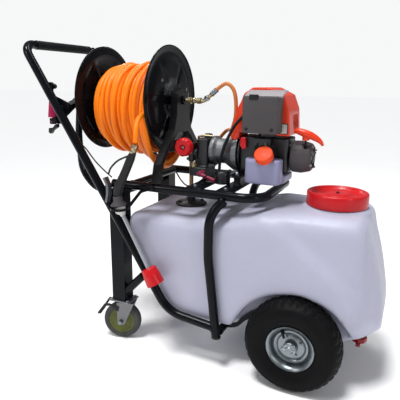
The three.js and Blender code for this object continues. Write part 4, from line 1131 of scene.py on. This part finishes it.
def reel_metal():
    dish = [(13.5, 4.4), (36, 4.4), (42, 3.2), (50, -2.0), (57, -4.4), (66, -4.6), (78, -4.4),
            (90, -4.2), (104, -4.0), (114, -3.0), (121, 0.4), (127, 3.4), (134, 4.2), (142, 3.4),
            (149, 1.2), (154.5, 0.2)]

    def ribs(angle, i):
        last = 2 * len(dish) - 1
        j = min(i, last - i)
        if not 4 <= j <= 10:
            return (0.0, 0.0)
        wave = max(0.0, math.cos(angle * 6)) ** 6
        ease = min(1.0, (j - 3) / 2, (11 - j) / 2)
        return (0.0, 3.5 * wave * ease)

    for name, x, out in (("left", -676, -1), ("right", -444, 1)):
        middle = at(x, 0, 733)
        axes = (Vector((-out, 0, 0)), Vector((0, 1, 0)), Vector((0, 0, 1)))
        disc = lathe("d", middle, axes, shell_profile(dish, 2.0), "black_paint", 144, ribs)
        rolled = [(154.2 + 2.9 * math.cos(a), 2.9 * math.sin(a))
                  for a in [2 * math.pi * k / 12 for k in range(12)]]
        parts = [disc, lathe("r", middle, axes, rolled, "black_paint", 120, closed=True)]
        for k in range(4):
            angle = math.pi / 4 + k * math.pi / 2
            seat = middle + Vector((-out * 3.2, 27 * math.cos(angle), 27 * math.sin(angle))) * MM
            parts += bolt("b", seat + Vector((out * 6.4, 0, 0)) * MM, (out, 0, 0), "zinc", 9, 4)
        for k in range(3):
            angle = 0.35 + k * 2 * math.pi / 3
            seat = middle + Vector((out * 5.4, 88 * math.cos(angle), 88 * math.sin(angle))) * MM
            parts += bolt("b", seat, (out, 0, 0), "zinc", 8, 3)
        in_place(f"reel_flange_{name}_steel", joined("f", parts), "reel", f"reel_flange_{name}",
                 slot="black_paint")


# ------------------------------------------------------------------ pump and engine
def pump_details():
    route = [(-311.6, 0, 752.6), (-296, 0, 766), (-268, 0, 782), (-246, 0, 765), (-238, 0, 730),
             (-240, 4, 690), (-252, 16, 660), (-268, 50, 650), (-300, 84, 640), (-334, 84, 600),
             (-346, 70, 566), (-347, 66, 560)]
    parts = [flexible("h", route, 5.5, "tan_hose", 70, 16)]
    crimp = [(6.0, 0), (7.6, 0), (7.9, 1), (7.9, 4), (7.0, 5), (7.0, 7), (7.9, 8), (7.9, 13),
             (7.0, 14), (7.0, 16), (7.9, 17), (7.7, 21), (6.0, 21)]
    parts.append(lathe("c", at(-313, 0, 751), aimed((15.6, 0, 13.4)), crimp, "zinc", 28))
    parts.append(lathe("c", at(-346, 71, 567), aimed((1, 0.8, 2.4)), crimp, "zinc", 28))
    in_place("pump_hose_run", joined("p", parts), "frame", "pump_hose", slot="tan_hose")

    fitting = [
        tube("e", [(-395, 0, 733), (-352, 0, 732), (-338, 0, 732), (-314, 0, 750)], [60, 12], 5.6,
             "brass", 20),
        lathe("n", at(-388, 0, 733), "x", [(0, 0), (9.6, 0), (10.6, 1), (10.6, 10), (9.6, 11),
                                           (0, 11)], "brass", 6, sharp=20),
        lathe("n", at(-372, 0, 733), "x", [(0, 0), (8, 0), (8.6, 1), (8.6, 7), (8, 8), (0, 8)],
              "brass", 24),
        lathe("n", at(-358, 0, 732.6), "x", [(0, 0), (9, 0), (10, 1), (10, 12), (9, 13), (0, 13)],
              "brass", 6, sharp=20),
        lathe("n", at(-331, 0, 737), aimed((24, 0, 18)), [(0, 0), (8, 0), (9, 1), (9, 9), (8, 10),
                                                          (0, 10)], "zinc", 6, sharp=20),
    ]
    in_place("swivel_brass", joined("s", fitting), "frame", "swivel_fitting", slot="brass")

    knob_relief = lambda angle, i: (-1.3 * max(0.0, math.sin(angle * 9)) if i in (4, 5) else 0.0, 0.0)
    knob = lathe("k", at(-368, 0, 604), "y", [
        (0, -70), (5, -70), (7, -71), (9, -77.4), (22, -78), (26.5, -73), (26.5, -58), (22, -54),
        (8, -54), (7, -46.6), (0, -46.6)], "red_plastic", 90, knob_relief, sharp=50)
    boss = lathe("k", at(-368, -69.9, 604), "y", [(0, -3.2), (3.4, -3.2), (4, -2.4), (4, 0.2),
                                                  (0, 0.2)], "zinc", 20)
    in_place("pressure_knob_cap", joined("k", [knob, boss]), "pressure_knob", "pressure_knob",
             slot="red_plastic")

    metal_bits = []
    for y in (-38, 38):
        for z in (567, 607):
            metal_bits += bolt("b", at(-366, y, z), (-1, 0, 0), "zinc", 8, 5)
    for y in (-34, 34):
        metal_bits += bolt("b", at(-314, y, 516), (0, 0, 1), "zinc", 9, 5)
    metal_bits += [
        lathe("t", at(-346, -12, 612), "z", [(0, 0), (8, 0), (9, 1), (9, 11), (8, 12), (4.4, 12),
                                             (4.4, 20), (0, 20)], "brass", 6, sharp=20),
        tube("t", [(-346, -12, 630), (-330, -12, 634), (-306, -6, 633)], 8, 3.4, "brass", 14),
        lathe("t", at(-330, 22, 628), "z", [(0, 0), (11, 0), (12, 1.4), (12, 7), (10, 9), (0, 9)],
              "black_plastic", 28),
        lathe("t", at(-352, 52, 560), "y", [(0, -8), (10, -8), (11, -7), (11, 3), (10, 4), (0, 4)],
              "brass", 6, sharp=20),
        lathe("t", at(-339, -58, 548), "z", [(0, 0), (7, 0), (8, 1), (8, 8), (5, 9), (5, 15),
                                             (0, 15)], "brass", 6, sharp=20),
    ]
    in_place("pump_fittings", joined("m", metal_bits), "frame", slot="brass")


def engine_details():
    wires = [
        flexible("w", [(-384, -100, 552), (-364, -100, 520), (-344, -100, 502), (-322, -101, 504),
                       (-300, -101, 518), (-279, -100, 537)], 2.0, "black_rubber", 30, 10),
        flexible("w", [(-639, -163, 592), (-610, -163, 560), (-582, -162, 536), (-556, -158, 515)],
                 2.0, "black_rubber", 24, 10),
        flexible("w", [(-756, -158, 752), (-722, -160, 688), (-686, -161, 630), (-639, -163, 592)],
                 2.0, "black_rubber", 24, 10),
        flexible("w", [(-132, -52, 640), (-128, -60, 624), (-118, -58, 606), (-122, -66, 594)],
                 2.6, "clear_hose", 20, 10),
        flexible("w", [(-146, -54, 636), (-152, -62, 620), (-150, -60, 604), (-140, -64, 596)],
                 2.2, "black_rubber", 20, 10),
        flexible("w", [(-196, -46, 700), (-220, -58, 668), (-244, -62, 618), (-258, -58, 572),
                       (-262, -54, 548)], 4.2, "black_rubber", 34, 14),
    ]
    in_place("cables", joined("w", wires), "frame", slot="black_rubber")

    flare = prism("f", [(-205, 742), (-216, 722), (-226, 690), (-238, 652), (-236, 634),
                        (-222, 628), (-210, 640), (-205, 700)], -42, 34, "y", "orange_plastic",
                  0.004, 4)
    tab = prism("t", [(-204, 640), (-190, 640), (-186, 612), (-198, 606), (-206, 618)], -48, -36,
                "y", "red_plastic", 0.002, 3)
    label = block("l", (-101, -45.4, 656), (-77, -43.6, 680), "label", 0.0004)
    rim = block("l", (-103, -44.9, 654), (-75, -43.4, 682), "black_plastic", 0.0003)
    in_place("shroud_flare", joined("f", [flare, tab, label, rim]), "frame",
             slot="orange_plastic")

    cap_axes = aimed((0, -1, 1))
    grip = lambda angle, i: (-0.7 * max(0.0, math.sin(angle * 26)) if i in (3, 4) else 0.0, 0.0)
    cap = lathe("c", at(-122, -85, 594), cap_axes, [
        (0, 20.6), (22, 20.6), (23.8, 19.8), (24.6, 18), (24.6, 1.6), (23.6, 0.5), (20.4, 0.5),
        (20.2, 4.2), (0, 4.2)], "cap_plastic", 104, grip, sharp=50)
    in_place("fuel_cap_moulding", cap, "fuel_cap", "fuel_cap", slot="orange_plastic")

    wing = [(-62, -26, 662), (-50, -26, 662), (-34, -26, 658), (-16, -26, 652), (0, -26, 644),
            (10, -26, 636), (15, -26, 628)]
    radii = [0.0052, 0.0088, 0.0102, 0.0098, 0.0084, 0.0062, 0.003]
    line = spline([at(*p) for p in wing], 25)
    sizes = [float(np.interp(k / 24, np.linspace(0, 1, 7), radii)) for k in range(25)]
    bar = swept("g", line, sizes, "orange_plastic", 24)
    for v in bar.data.vertices:
        v.co.y = at(0, -26, 0).y + (v.co.y - at(0, -26, 0).y) * 1.25
    stem = tube("s", [(-30, -26, 640), (-30, -26, 656)], 1, 9.5, "orange_plastic", 24)
    cord = tube("s", [(-30, -26, 606), (-30, -26, 648)], 1, 2.4, "black_rubber", 12)
    in_place("starter_handle", joined("g", [bar, stem, cord]), "starter_grip", "starter_grip",
             slot="orange_plastic")

    guard = []
    for k in range(7):
        angle = math.radians(20 + 46 * k)
        radius = 26
        y, z = radius * math.cos(angle), 592 + radius * math.sin(angle)
        guard.append(tube("v", [(-12.4, 0.62 * y, 592 + 0.62 * (z - 592)),
                                (-12.4, 1.14 * y, 592 + 1.14 * (z - 592))], 1, 1.8,
                          "black_plastic", 10))
    for angle in (0.5, 2.1, 3.7, 5.3):
        seat = at(-15, 34 * math.cos(angle), 592 + 34 * math.sin(angle))
        guard += bolt("b", seat, (1, 0, 0), "zinc", 6, 4)
    for y, z in ((-22, 560), (-22, 624)):
        guard += bolt("b", at(-72, y, z), (1, 0, 0), "zinc", 7, 4)
    in_place("starter_screws", joined("g", guard), "frame", slot="zinc")

    posts = []
    for y in (-72, 72):
        posts.append(lathe("p", at(-201, y, 0), "z", [
            (0, 507.8), (11, 507.8), (11.6, 509), (11.6, 512), (9.4, 516), (8.6, 522), (9.4, 529),
            (10.6, 533), (0, 533)], "black_rubber", 32))
        posts += bolt("p", at(-201, y, 539.6), (0, 0, 1), "zinc", 10, 6)
    in_place("engine_feet", joined("p", posts), "frame", slot="black_rubber")

    cover = prism("a", [(-97, 657), (-97, 746), (-94, 753), (-60, 763), (-44.8, 764), (-44.8, 657)],
                  -184, -89, "x", "grey_plastic", 0.004, 4)
    # the pale grey lip along the top is a painted highlight: the top edge is coloured lighter where
    # light falls on it
    lip = prism("a", [(-95, 753), (-60, 765), (-40, 767), (-40, 763), (-60, 760), (-92, 749)],
                -180, -80, "x", "painted_highlight_grey", 0.0014, 3)
    in_place("air_filter_moulding", joined("a", [cover, lip]), "frame", "air_filter_cover",
             slot=RECORD_SLOT["air_filter_cover"])

    screws = []
    for x, z in ((-172, 668), (-104, 668)):
        screws += bolt("s", at(x, -97, z), (0, -1, 0), "black_plastic", 6, 2.5)
    screws.append(block("n", (-166, -98.6, 743), (-142, -93, 756), "black_plastic", 0.0015))
    in_place("filter_screws", joined("s", screws), "frame", slot="black_plastic")


# ------------------------------------------------------------------ spray gun
def spray_gun():
    top, bottom = Vector((-497, -203, 434)), Vector((-384, -203, 228))
    down = (bottom - top).normalized()
    spot = lambda s: tuple(top + down * s)
    grip_line = spline([at(*p) for p in ((-450, -203, 602), (-462, -203, 578), (-478, -203, 545),
                                         (-492, -203, 518), (-503, -203, 498), (-507, -203, 478))], 22)
    radii = [float(np.interp(k / 21, (0, 0.15, 0.5, 0.8, 1), (0.0085, 0.0115, 0.0118, 0.0132, 0.012)))
             for k in range(22)]
    parts = [swept("g", grip_line, radii, "black_plastic", 22)]
    parts.append(lathe("s", at(-506, -203, 466), aimed((-0.12, 0, 1)), [
        (0, -20), (20.4, -20), (22, -18), (21, -14.6), (13.6, -7), (12.4, 8), (0, 8)], "grey_plastic",
        40))
    parts.append(lathe("n", at(*spot(-3)), aimed(down), [
        (0, -8), (11, -8), (15.4, -6), (16, -4), (16, 6), (14, 9), (9, 13), (8, 19), (0, 19)],
        "white_plastic", 48, lambda a, i: (-0.8 * max(0.0, math.sin(a * 12)) if i in (3, 4) else 0.0,
                                           0.0)))
    parts.append(tube("l", [spot(10), spot(184)], 1, 5.8, "chrome", 24))
    ferrule = [(6.2, 0), (8.4, 0), (9, 1), (9, 6), (7.4, 7.2), (7.4, 9), (9, 10.2), (9, 15.4),
               (7.4, 16.6), (7.4, 18.4), (9, 19.6), (8.8, 25), (7.6, 28), (6.2, 28)]
    parts.append(lathe("f", at(-453.5, -203, 596), aimed((10, 0, 24)), ferrule, "brass", 32))
    parts.append(tube("f", [(-456, -203, 590), (-443, -203, 621)], 1, 6.4, "brass", 16))
    guard = flexible("u", [(-462, -203, 592), (-500, -203, 575), (-525, -203, 553),
                           (-534, -203, 535)], 2.6, "black_plastic", 24, 10)
    parts.append(guard)
    in_place("gun_handle", joined("g", parts), "frame", "gun_body", slot="black_plastic")
    nozzle = lathe("n", at(*spot(0)), aimed(down), [
        (5, 180), (17, 180), (20.4, 181.4), (22, 184), (23.4, 198), (24.2, 200), (24.2, 204),
        (25.6, 224), (25.4, 230), (22, 230), (17, 190), (5, 188)], "red_plastic", 72,
        lambda a, i: (-0.7 * max(0.0, math.sin(a * 24)) if i in (4, 7, 8) else 0.0, 0.0), sharp=50)
    in_place("nozzle_cap", nozzle, "gun_nozzle", "gun_nozzle", slot="red_plastic")


# a darker copy of the hose orange: painted shade for the layer below in the pack and for one low loop
MATERIALS["hose_painted_shade"] = hose_plastic("hose_shade_mat", (0.62, 0.1, 0.002), (0.3, 0.04, 0.0))
for node_name in BEVEL_NODES:
    bevelled(NODES[node_name], 0.0014)
side_tubes()
hoops()
deck()
handle()
tank()
lid_and_ports()
rear_wheels()
casters()
wound_hose()
reel_metal()
pump_details()
engine_details()
spray_gun()
